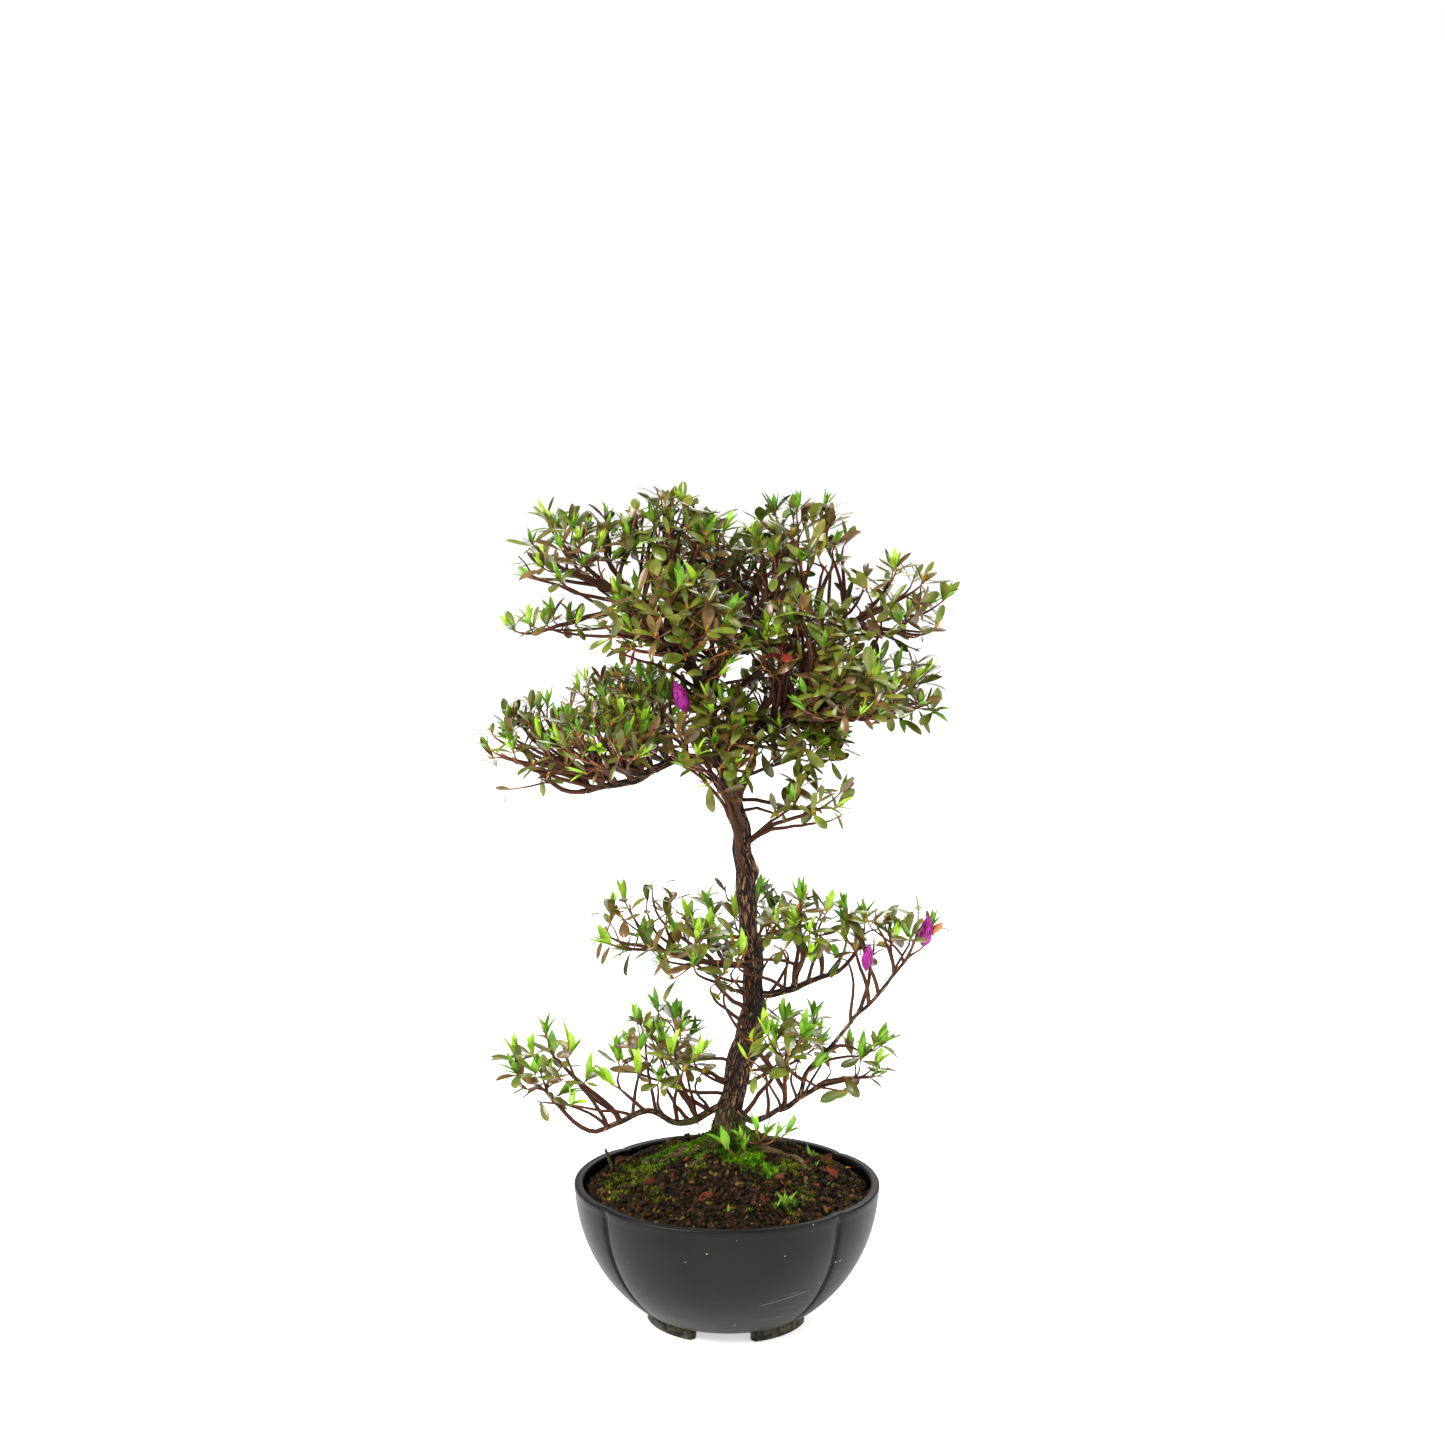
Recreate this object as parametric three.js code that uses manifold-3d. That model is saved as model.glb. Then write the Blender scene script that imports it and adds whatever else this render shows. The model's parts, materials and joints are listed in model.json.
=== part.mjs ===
// A flowering azalea grown as a small tree in an oval pot with four lobes.
// Millimetres, +Z up, the pot's long side along X and its front towards -Y.
// Everything is laid out from the middle of the pot, with z = 0 under its feet.
// The pot, the soil, the trunk, each bough and each mass of foliage is a solid of its own.
// A mass is one tree of twigs, grown by a seeded rule, with its leaves and buds fused on.

import * as THREE from 'three';
import Module from 'manifold-3d';

const wasm = await Module();
wasm.setup();

// Clearances
const GAP = 0.3; // between two neighbouring solids
const CLEAR = 0.7; // from a twig or leaf to a limb that it grows past
const MARGIN = 0.25; // from a leaf to the wall of its mass's space
const SLIVER = 0.02; // a face thinner than this is merged into its neighbours
const KNOB = 1.15; // how much thicker than its radius a limb counts where a twig passes

// Pot
const POT = {
  halfWidth: 80,
  halfDepth: 71,
  height: 75,
  bowl: 83, // half height of the ellipse that the wall follows
  wall: 3,
  lip: 4.4,
  lipHeight: 3,
  floor: 3.5,
  round: 0.6, // rounding of the lip's edges
  cove: 5, // rounding between the inner wall and the floor
  base: 6, // height of the base over the ground
  groove: 50, // degrees from the front to the groove between two lobes
  dip: 0.026, // share of the radius lost in a groove
  turn: -3.3, // degrees that the pot is turned about the trunk
};
const OUTSIDE = [0, 0.09, 0.22, 0.4, 0.62, 0.84, 0.965]; // shares of the height, up the outer wall
const INSIDE = [69, 57, 40, 26, 15]; // heights down the inner wall
const FOOT = {
  outer: 0.535, // of the pot's half width
  inner: 0.44,
  from: 22, // degrees from the front
  to: 78,
  sunk: 1, // mm into the base
  slope: 0.03, // how much narrower its ends are, of the half width
  steps: 8,
};

// Soil
const SOIL = {
  edge: 66, // height at the wall
  top: 89, // height under the trunk
  flat: 15, // radius of the level place that the trunk stands on
  lift: 0.62, // how full the mound's side is
  shares: [1, 0.7, 0.35, 0], // rings of the mound, from the wall to the level place
};

// Trunk: centre and radius at each height, with the flare at the foot
const TRUNK = [
  { z: 89, x: 1, y: 14, r: 12.6 },
  { z: 94, x: 1.2, y: 13.8, r: 9.6 },
  { z: 103, x: 1.4, y: 13.2, r: 7.6 },
  { z: 118, x: 2.6, y: 12.6, r: 6.5 },
  { z: 136, x: 7, y: 11.6, r: 7.3 },
  { z: 148, x: 10.8, y: 10.8, r: 7.2 },
  { z: 164, x: 13, y: 9.8, r: 5.6 },
  { z: 187, x: 13.6, y: 8.6, r: 5.1 },
  { z: 212, x: 11.8, y: 7.4, r: 5 },
  { z: 238, x: 9.6, y: 6.4, r: 5.4 },
  { z: 256, x: 7.8, y: 6, r: 4.5 },
  { z: 276, x: 3, y: 5.8, r: 4.4 },
  { z: 298, x: -1.6, y: 5.6, r: 4.3 },
  { z: 322, x: -8.4, y: 5.2, r: 4.6 },
  { z: 344, x: -12.4, y: 4, r: 4.4 },
];
const TRUNK_SIDES = 10;
const TRUNK_STEPS = 24;
const TRUNK_EASE = 1.15; // the rings stand closer together at the foot
const ROOTS = { count: 5, swell: 0.2, reach: 18, phase: 0.5 }; // lobes of the flare

// Boughs: where each leaves its parent (a height on the trunk, a share of the length on a bough),
// the bends on its way, its tip, and its radius at root and tip
const BOUGHS = [
  {
    name: 'left_limb', on: 'trunk', at: 341,
    by: [[-25, 1, 351]], tip: [-45, -2, 366], r: [2.9, 1.8],
  },
  {
    name: 'right_limb', on: 'trunk', at: 337,
    by: [[-2, 3, 353]], tip: [15, -6, 361], r: [2.8, 1.9],
  },
  {
    name: 'left_top_bough', on: 'left_limb', at: 0.62,
    by: [[-46, 2, 376]], tip: [-60, 0, 387], r: [1.9, 1.4],
  },
  {
    name: 'top_bough', on: 'left_limb', at: 0.42,
    by: [[-29, 3, 372]], tip: [-26, 5, 388], r: [2.1, 1.5],
  },
  {
    name: 'top_back_bough', on: 'left_limb', at: 0.3,
    by: [[-15, 20, 358]], tip: [-6, 32, 368], r: [2, 1.4],
  },
  {
    name: 'top_front_bough', on: 'left_limb', at: 0.36,
    by: [[-23, -12, 358]], tip: [-18, -25, 365], r: [1.9, 1.4],
  },
  {
    name: 'right_top_bough', on: 'right_limb', at: 0.72,
    by: [[12, 3, 371]], tip: [22, 6, 385], r: [2, 1.4],
  },
  {
    name: 'right_long_bough', on: 'right_limb', at: 0.5,
    by: [[24, 6, 360]], tip: [60, 2, 368], r: [2, 1.4],
  },
  {
    name: 'left_pad_limb', on: 'trunk', at: 296,
    by: [[-26, 1, 300], [-50, -5, 290]], tip: [-72, -8, 286], r: [2.7, 1.6],
  },
  {
    name: 'left_inner_bough', on: 'left_pad_limb', at: 0.3,
    by: [], tip: [-37, 0, 308], r: [1.7, 1.3],
  },
  {
    name: 'left_front_bough', on: 'left_pad_limb', at: 0.48,
    by: [[-44, -14, 295]], tip: [-52, -27, 299], r: [1.7, 1.2],
  },
  {
    name: 'left_back_bough', on: 'left_pad_limb', at: 0.36,
    by: [[-36, 14, 298]], tip: [-47, 28, 302], r: [1.7, 1.2],
  },
  {
    name: 'right_pad_limb', on: 'trunk', at: 302,
    by: [[16, -1, 317], [32, -12, 325]], tip: [44, -26, 329], r: [2.6, 1.6],
  },
  {
    name: 'right_outer_bough', on: 'right_pad_limb', at: 0.36,
    by: [[38, 2, 318]], tip: [66, -2, 322], r: [1.9, 1.4],
  },
  {
    name: 'right_back_bough', on: 'right_pad_limb', at: 0.25,
    by: [[18, 16, 314]], tip: [30, 30, 317], r: [1.8, 1.3],
  },
  {
    name: 'mid_left_bough', on: 'trunk', at: 190,
    by: [[-12, 6, 191]], tip: [-32, 4, 198], r: [1.9, 1.3],
  },
  {
    name: 'mid_right_bough', on: 'trunk', at: 172,
    by: [[27, 5, 176]], tip: [54, 0, 187], r: [2.1, 1.4],
  },
  {
    name: 'mid_upright_bough', on: 'mid_right_bough', at: 0.5,
    by: [], tip: [39, -2, 194], r: [1.6, 1.2],
  },
  {
    name: 'low_left_bough', on: 'trunk', at: 112,
    by: [[-24, 4, 105], [-41, -6, 114]], tip: [-64, -11, 107], r: [2.1, 1.4],
  },
  {
    name: 'low_right_bough', on: 'trunk', at: 112,
    by: [[15, 0, 107], [26, -10, 118]], tip: [30, -16, 131], r: [1.9, 1.3],
  },
  {
    name: 'low_outer_bough', on: 'low_right_bough', at: 0.7,
    by: [[34, -10, 122]], tip: [47, -9, 129], r: [1.5, 1.2],
  },
  {
    name: 'bud_bough', on: 'low_outer_bough', at: 0.5,
    by: [[47, -15, 146], [76, -16, 179]], tip: [92, -13, 200], r: [1.2, 0.9],
  },
];
const BOUGH_SIDES = 5;
const STEP_LENGTH = 10; // mm along a bough between two rings

// Masses of foliage: the bough or the height on the trunk that the stem grows from,
// the middle and the half sizes of the mass's space, how many twig ends it has, and whether it
// is all young shoots. A mass whose first throw of the dice gave leaves that cut into each
// other takes another throw.
const MASSES = [
  { name: 'crown_top', on: 'top_bough', at: [-28, 4, 408], half: [38, 34, 32], tips: 8 },
  { name: 'crown_top_left', on: 'left_top_bough', at: [-77, -2, 403], half: [36, 32, 30], tips: 7 },
  { name: 'crown_top_right', on: 'right_top_bough', at: [35, 8, 406], half: [34, 34, 32], tips: 8 },
  { name: 'crown_right', on: 'right_long_bough', at: [84, 0, 374], half: [33, 32, 36], tips: 8 },
  { name: 'crown_left_spur', on: 'left_limb', at: [-84, 0, 370], half: [34, 22, 14], tips: 3 },
  { name: 'crown_front', on: 'top_front_bough', at: [-26, -40, 374], half: [42, 32, 32], tips: 8 },
  { name: 'crown_back', on: 'top_back_bough', at: [0, 48, 384], half: [50, 34, 36], tips: 8 },
  { name: 'crown_middle', on: 'right_limb', at: [40, -24, 364], half: [32, 28, 28], tips: 6 },
  { name: 'right_pad_outer', on: 'right_outer_bough', at: [86, -2, 334], half: [30, 32, 28], tips: 6 },
  { name: 'left_pad_outer', on: 'left_pad_limb', at: [-95, -6, 302], half: [33, 30, 37], tips: 7 },
  { name: 'left_pad_inner', on: 'left_inner_bough', at: [-42, 0, 322], half: [32, 28, 30], tips: 6 },
  { name: 'left_pad_front', on: 'left_front_bough', at: [-58, -42, 312], half: [34, 28, 30], tips: 6 },
  { name: 'left_pad_back', on: 'left_back_bough', at: [-58, 44, 314], half: [38, 30, 32], tips: 6 },
  { name: 'centre_front', on: 'trunk', from: 312, at: [-6, -33, 312], half: [28, 24, 34], tips: 6 },
  {
    name: 'right_pad_inner', on: 'trunk', from: 290,
    at: [37, -6, 309], half: [30, 24, 24], tips: 6, again: 1,
  },
  { name: 'right_pad_low', on: 'trunk', from: 279, at: [40, -22, 281], half: [27, 22, 19], tips: 4 },
  { name: 'right_pad_back', on: 'right_back_bough', at: [44, 47, 326], half: [38, 32, 34], tips: 6 },
  { name: 'right_pad_front', on: 'right_pad_limb', at: [60, -45, 338], half: [33, 28, 28], tips: 6 },
  { name: 'mid_left', on: 'mid_left_bough', at: [-42, 4, 210], half: [31, 26, 32], tips: 5 },
  { name: 'mid_left_front', on: 'trunk', from: 181, at: [-18, -26, 203], half: [28, 24, 28], tips: 4 },
  { name: 'mid_upright', on: 'mid_upright_bough', at: [38, -6, 213], half: [22, 24, 28], tips: 4 },
  { name: 'mid_right', on: 'mid_right_bough', at: [72, 2, 204], half: [22, 26, 29], tips: 4 },
  { name: 'mid_back', on: 'trunk', from: 186, at: [10, 42, 200], half: [36, 28, 30], tips: 5 },
  { name: 'bud_spray', on: 'bud_bough', at: [98, -13, 214], half: [16, 16, 20], tips: 0, again: 1 },
  { name: 'low_left_outer', on: 'low_left_bough', at: [-92, -13, 135], half: [29, 26, 33], tips: 6 },
  { name: 'low_left_inner', on: 'trunk', from: 118, at: [-39, -6, 140], half: [33, 28, 28], tips: 6 },
  { name: 'low_left_back', on: 'trunk', from: 124, at: [-34, 40, 137], half: [30, 26, 27], tips: 5 },
  { name: 'low_right', on: 'low_right_bough', at: [32, -26, 152], half: [24, 24, 27], tips: 4 },
  { name: 'low_right_outer', on: 'low_outer_bough', at: [68, -8, 141], half: [28, 22, 22], tips: 4 },
  { name: 'low_back', on: 'trunk', from: 120, at: [34, 42, 136], half: [30, 26, 26], tips: 4 },
  {
    name: 'foot_shoots', on: 'trunk', from: 94,
    at: [17, -5, 101], half: [24, 12, 13], tips: 3, young: true,
  },
];
const SEED = 11;

// Twigs
const TWIG = {
  sides: 3,
  tip: 0.55, // radius of a twig's end
  branch: 0.48, // how the radius grows with the number of ends that a twig carries
  stem: 1.5, // the thickest stem
  start: 0.34, // share of a twig's length that keeps its parent's direction
  lift: 0.75, // how strongly a twig's end turns up
  rush: 2.5, // the same for young shoots
  home: 0.4, // cost of a long way back to the stem
  bend: 0.5, // cost of turning away from the parent's direction
  step: 18, // mm between two rings of a twig
  inset: 13, // mm that a twig's end keeps from its mass's outline, for its leaves
};

const STEM = {
  depth: 0.6, // share of the trunk's radius from which a stem on the trunk starts
  climb: 0.25, // how steeply it leaves the trunk
};

// How the ends of a mass's twigs are spread through its space
const SPREAD = {
  tries: 3000,
  relax: 0.998, // the spacing shrinks by this at each try
  fill: 4.2, // volume of an ellipsoid over the product of its half sizes
  low: -0.75, // the lowest end, as a share of the half height
  deep: 0.45, // the innermost end, as a share of the half sizes
  keep: 3, // mm between an end and a limb or a wall
};

// Leaves, made larger than life because they are fewer
const LEAF = {
  long: [17, 25],
  wide: 0.46, // of its length
  thick: 0.05, // of its length
  widest: 0.6, // share of the length where it is widest
  collar: 2.6, // mm of the twig's end that the leaves grow from
  bare: 0.36, // share of a whorl's places that stay bare
  topBare: 0.5, // share of the twigs with no leaf on the very end
  spread: [38, 78], // degrees from the twig's direction
  topSpread: 4,
  over: 5, // mm that a leaf may reach past its mass's outline
  tries: 5, // ways that a leaf tries before its place stays bare
  shrink: 0.4, // how much shorter it is by the last try
};
const SHOOT = { share: 0.3, wide: 0.27, spread: [14, 30] }; // narrow young leaves that stand up

// Flower buds: the mass that each belongs to and where its foot sits
const BUDS = [
  { mass: 'centre_front', foot: [-24, -34, 321], lean: [0.1, -0.1, 1] },
  { mass: 'bud_spray', foot: [100, -13, 206], lean: [0.1, -0.1, 1] },
  { mass: 'mid_right', foot: [72, -12, 192], lean: [0.12, -0.1, 1] },
  { mass: 'crown_top', foot: [-19, -16, 392], lean: [-0.1, -0.2, 1] },
];
const BUD = {
  long: 19,
  thick: 5, // radius
  sides: 6,
  sunk: 1, // mm over the twig's end
  rings: [[0, 0.24], [0.3, 1], [0.62, 0.82], [0.9, 0.3]], // shares of its length and radius
};

// Colours and finishes, seen from arm's length
const finish = {
  pot: new THREE.MeshStandardMaterial({ color: 0x2b2b2e, roughness: 0.45, metalness: 0 }),
  soil: new THREE.MeshStandardMaterial({ color: 0x3a2a1c, roughness: 0.95, metalness: 0 }),
  bark: new THREE.MeshStandardMaterial({ color: 0x4a3328, roughness: 0.85, metalness: 0 }),
  foliage: new THREE.MeshStandardMaterial({ color: 0x4f6b2c, roughness: 0.5, metalness: 0 }),
};

const model = new THREE.Group();
const radians = THREE.MathUtils.degToRad;
const vec = (list) => new THREE.Vector3(...list);

// A closed geometry becomes a solid that can be joined and cut
function solid(vertices, faces) {
  const mesh = new wasm.Mesh({
    numProp: 3,
    vertProperties: new Float32Array(vertices.flatMap((v) => [v.x, v.y, v.z])),
    triVerts: new Uint32Array(faces.flat()),
  });
  return new wasm.Manifold(mesh);
}

// A solid becomes a named mesh of the model
function place(name, shape, material) {
  const data = shape.getMesh();
  const geometry = new THREE.BufferGeometry();
  geometry.setAttribute('position', new THREE.BufferAttribute(data.vertProperties, 3));
  geometry.setIndex(new THREE.BufferAttribute(data.triVerts, 1));
  geometry.computeVertexNormals();
  const mesh = new THREE.Mesh(geometry, material);
  mesh.name = name;
  model.add(mesh);
}

// A skin over rings of points, each ring the same number of points, counter-clockwise seen
// from the last ring's side. A ring of one point is a pole; other ends get a flat cap.
function skin(rings) {
  const vertices = rings.flat();
  const faces = [];
  const starts = [];
  let count = 0;
  for (const ring of rings) {
    starts.push(count);
    count += ring.length;
  }
  for (let i = 0; i + 1 < rings.length; i++) {
    const a = rings[i].length;
    const b = rings[i + 1].length;
    const sides = Math.max(a, b);
    for (let k = 0; k < sides; k++) {
      const next = (k + 1) % sides;
      const low = starts[i] + (a > 1 ? k : 0);
      const lowNext = starts[i] + (a > 1 ? next : 0);
      const high = starts[i + 1] + (b > 1 ? k : 0);
      const highNext = starts[i + 1] + (b > 1 ? next : 0);
      if (a > 1) faces.push([low, lowNext, highNext]);
      if (b > 1) faces.push([low, highNext, high]);
    }
  }
  const last = rings.length - 1;
  for (let k = 1; k + 1 < rings[0].length; k++) faces.push([0, k + 1, k]);
  for (let k = 1; k + 1 < rings[last].length; k++) {
    faces.push([starts[last], starts[last] + k, starts[last] + k + 1]);
  }
  return solid(vertices, faces);
}

// A limb or twig: rings square to a line of points, tapering with the radii
function tubeRings(points, radii, sides, shape = () => 1, twist = 0) {
  const across = new THREE.Vector3();
  return points.map((point, i) => {
    const before = points[Math.max(i - 1, 0)];
    const after = points[Math.min(i + 1, points.length - 1)];
    const along = after.clone().sub(before).normalize();
    if (i === 0) {
      across.set(Math.abs(along.z) > 0.9 ? 1 : 0, 0, Math.abs(along.z) > 0.9 ? 0 : 1);
    }
    across.addScaledVector(along, -across.dot(along)).normalize();
    const side = along.clone().cross(across);
    return Array.from({ length: sides }, (_, k) => {
      const turn = (2 * Math.PI * k) / sides + twist * i;
      const radius = radii[i] * shape(turn, point);
      return point
        .clone()
        .addScaledVector(across, Math.cos(turn) * radius)
        .addScaledVector(side, Math.sin(turn) * radius);
    });
  });
}

function tube(points, radii, sides, shape) {
  return skin(tubeRings(points, radii, sides, shape));
}

// Corners that a join or cut left closer together than a sliver become one
function weld(shape) {
  const data = shape.getMesh();
  const corners = [];
  for (let i = 0; i < data.vertProperties.length; i += 3) {
    corners.push(new THREE.Vector3().fromArray(data.vertProperties, i));
  }
  let faces = [];
  for (let i = 0; i < data.triVerts.length; i += 3) faces.push([...data.triVerts.slice(i, i + 3)]);
  const around = (v) => new Set(faces.filter((face) => face.includes(v)).flat());
  const shortEdge = () => {
    for (const [a, b, c] of faces) {
      for (const [from, to] of [[a, b], [b, c], [c, a]]) {
        if (corners[from].distanceTo(corners[to]) > SLIVER) continue;
        const near = around(to);
        const shared = [...around(from)].filter((v) => near.has(v));
        if (shared.length === 4) return [from, to];
      }
    }
    return null;
  };
  for (let edge = shortEdge(); edge; edge = shortEdge()) {
    const [kept, dropped] = edge;
    faces = faces
      .map((face) => face.map((v) => (v === dropped ? kept : v)))
      .filter((face) => new Set(face).size === 3);
  }
  return solid(corners, faces);
}

// The largest body of a solid: loose scraps are dropped and sealed hollows filled, and faces
// as thin as a needle are merged into their neighbours
function largest(shape) {
  const bodies = shape.simplify(SLIVER).decompose();
  bodies.sort((a, b) => b.volume() - a.volume());
  return weld(bodies[0]).simplify(SLIVER);
}

// Seeded numbers from 0 to 1
function dice(seed) {
  let state = (seed * 2654435761) >>> 0;
  return () => {
    state = (Math.imul(state, 1664525) + 1013904223) >>> 0;
    return (state >>> 8) / 16777216;
  };
}

// Pot: outline of the lobed oval, at angles from the front
function outlineAngles() {
  const angles = [];
  for (const [from, to, steps] of [
    [-POT.groove, POT.groove, 10],
    [POT.groove, 180 - POT.groove, 8],
    [180 - POT.groove, 180 + POT.groove, 10],
    [180 + POT.groove, 360 - POT.groove, 8],
  ]) {
    for (let i = 0; i < steps; i++) angles.push(from + ((to - from) * i) / steps);
  }
  return angles;
}

function lobe(angle) {
  const folded = 90 - Math.abs((((angle % 180) + 180) % 180) - 90);
  const share = folded < POT.groove ? folded / POT.groove : (90 - folded) / (90 - POT.groove);
  return 1 - POT.dip * share ** 5;
}

function wallScale(z) {
  return Math.sqrt(1 - ((POT.height - z) / POT.bowl) ** 2);
}

// A ring of the pot at one height, set in from the outer wall by some millimetres
function potRing(z, inset, scale = wallScale(z)) {
  return outlineAngles().map((angle) => {
    const a = radians(angle);
    const keep = lobe(angle);
    const x = Math.sin(a) * (POT.halfWidth * scale - inset) * keep;
    const y = -Math.cos(a) * (POT.halfDepth * scale - inset) * keep;
    return new THREE.Vector3(x, y, z).applyAxisAngle(new THREE.Vector3(0, 0, 1), radians(POT.turn));
  });
}

const potFloor = POT.base + POT.floor;

function makePot() {
  const top = POT.height;
  const outside = OUTSIDE.map((share) =>
    potRing(POT.base + (top - POT.base) * share, 0),
  );
  const rim = [
    potRing(top, POT.round, 1),
    potRing(top, POT.lip - POT.round, 1),
    potRing(top - POT.round, POT.lip, 1),
    potRing(top - POT.lipHeight, POT.lip, 1),
  ];
  const inside = INSIDE.map((z) => potRing(z, POT.wall));
  const floorRing = potRing(potFloor, POT.wall + POT.cove);
  const pole = (z) => [new THREE.Vector3(0, 0, z)];
  const bowl = skin([pole(POT.base), ...outside, ...rim, ...inside, floorRing, pole(potFloor)]);
  return feet().reduce((pot, block) => pot.add(block), bowl);
}

// One foot under each groove, a block bent along the base
function feet() {
  return [0, 1, 2, 3].map((quarter) => {
    const mirror = quarter % 2 === 0 ? 1 : -1;
    const back = quarter < 2 ? 0 : 180;
    const rings = [];
    for (let i = 0; i <= FOOT.steps; i++) {
      const angle = radians(back + mirror * (FOOT.from + ((FOOT.to - FOOT.from) * i) / FOOT.steps));
      const end = i === 0 || i === FOOT.steps ? FOOT.slope : 0;
      const corner = (share, z) =>
        new THREE.Vector3(
          Math.sin(angle) * POT.halfWidth * share,
          -Math.cos(angle) * POT.halfDepth * share,
          z,
        ).applyAxisAngle(new THREE.Vector3(0, 0, 1), radians(POT.turn));
      const ring = [
        corner(FOOT.inner + end, 0),
        corner(FOOT.outer - end, 0),
        corner(FOOT.outer - end, POT.base + FOOT.sunk),
        corner(FOOT.inner + end, POT.base + FOOT.sunk),
      ];
      rings.push(mirror > 0 ? ring.reverse() : ring);
    }
    return skin(rings);
  });
}

// Soil: a mound that fills the pot, level where the trunk stands
const foot = new THREE.Vector3(TRUNK[0].x, TRUNK[0].y, SOIL.top);

function moundHeight(share) {
  return SOIL.edge + (SOIL.top - SOIL.edge) * (1 - share ** (1 / SOIL.lift));
}

function soilRing(share) {
  const edge = potRing(SOIL.edge, POT.wall + GAP);
  return edge.map((point) => {
    const inner = point.clone().sub(foot).setZ(0).setLength(SOIL.flat).add(foot);
    const spot = inner.lerp(point, share);
    spot.z = moundHeight(share);
    return spot;
  });
}

function soilHeight(point) {
  const away = Math.hypot(point.x - foot.x, point.y - foot.y);
  const share = Math.max(0, away - SOIL.flat) / (POT.halfDepth - SOIL.flat);
  return moundHeight(Math.min(1, share));
}

function makeSoil() {
  const low = potFloor + GAP;
  const inset = POT.wall + GAP;
  return skin([
    [new THREE.Vector3(0, 0, low)],
    potRing(low, inset + POT.cove),
    ...INSIDE.filter((z) => z < SOIL.edge).reverse().map((z) => potRing(z, inset)),
    ...SOIL.shares.map(soilRing),
    [foot.clone()],
  ]);
}

// Trunk: a smooth line through its centres, with a lobed flare where the roots leave it
const trunkLine = new THREE.CatmullRomCurve3(TRUNK.map((p) => new THREE.Vector3(p.x, p.y, p.z)));

function trunkRadius(z) {
  const above = TRUNK.findIndex((p) => p.z >= z);
  if (above <= 0) return TRUNK[0].r;
  const a = TRUNK[above - 1];
  const b = TRUNK[above];
  return a.r + ((b.r - a.r) * (z - a.z)) / (b.z - a.z);
}

function trunkShare(z) {
  let low = 0;
  let high = 1;
  for (let i = 0; i < 30; i++) {
    const middle = (low + high) / 2;
    if (trunkLine.getPointAt(middle).z < z) low = middle;
    else high = middle;
  }
  return (low + high) / 2;
}

function makeTrunk(grown) {
  const points = Array.from({ length: TRUNK_STEPS + 1 }, (_, i) =>
    trunkLine.getPointAt((i / TRUNK_STEPS) ** TRUNK_EASE),
  );
  const radii = points.map((p) => trunkRadius(p.z) + grown);
  const flare = (turn, point) => {
    const fade = Math.max(0, 1 - (point.z - SOIL.top) / ROOTS.reach);
    return 1 + ROOTS.swell * fade * Math.cos(ROOTS.count * turn + ROOTS.phase);
  };
  const shape = tube(points, radii, TRUNK_SIDES, flare);
  return shape.trimByPlane([0, 0, 1], SOIL.top + GAP - grown);
}

// Limbs: the line, the radii and the solid of the trunk and of each bough
const limbs = new Map();

function addLimb(name, points, radii, shape, grown) {
  limbs.set(name, { name, points, radii, shape, grown });
}

function boughLine(bough) {
  const parent = limbs.get(bough.on);
  const start =
    bough.on === 'trunk'
      ? trunkLine.getPointAt(trunkShare(bough.at))
      : parent.line.getPointAt(bough.at);
  return new THREE.CatmullRomCurve3([start, ...bough.by.map(vec), vec(bough.tip)]);
}

function makeLimbs() {
  const count = TRUNK_STEPS * 2;
  const points = Array.from({ length: count + 1 }, (_, i) => trunkLine.getPointAt(i / count));
  addLimb('trunk', points, points.map((p) => trunkRadius(p.z)), makeTrunk(0), makeTrunk(GAP));
  for (const bough of BOUGHS) {
    const line = boughLine(bough);
    const steps = Math.max(3, Math.round(line.getLength() / STEP_LENGTH));
    const stations = Array.from({ length: steps + 1 }, (_, i) => i / steps);
    const spots = stations.map((t) => line.getPointAt(t));
    const [root, end] = bough.r;
    const radii = stations.map((t) => root + (end - root) * t);
    let shape = tube(spots, radii, BOUGH_SIDES);
    for (const other of limbs.values()) shape = shape.subtract(other.grown);
    const ahead = spots[steps].clone().sub(spots[steps - 1]).setLength(GAP);
    const longer = [...spots.slice(0, -1), spots[steps].clone().add(ahead)];
    const grown = tube(longer, radii.map((r) => r + GAP), BOUGH_SIDES);
    addLimb(bough.name, spots, radii, largest(shape), grown);
    limbs.get(bough.name).line = line;
  }
}

// The space of each mass: an ellipsoid, cut by a flat wall wherever it would meet another's
function extent(mass, normal) {
  return Math.hypot(...mass.half.map((size, i) => size * normal.getComponent(i)));
}

function wallsOf(mass) {
  const walls = [];
  for (const other of MASSES) {
    if (other === mass) continue;
    const normal = vec(other.at).sub(vec(mass.at));
    const distance = normal.length();
    normal.normalize();
    const mine = extent(mass, normal);
    const theirs = extent(other, normal);
    if (distance > mine + theirs + 2 * LEAF.over) continue;
    const reach = normal.dot(vec(mass.at)) + (distance * mine) / (mine + theirs);
    walls.push({ normal, reach });
  }
  return walls;
}

function inSpace(point, mass, margin, over = 0) {
  const off = point.clone().sub(vec(mass.at));
  const depth = Math.hypot(...mass.half.map((size, i) => off.getComponent(i) / (size + over)));
  if (depth > 1) return false;
  if (point.z < soilHeight(point) + CLEAR) return false;
  return mass.walls.every((wall) => wall.normal.dot(point) < wall.reach - margin);
}

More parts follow.
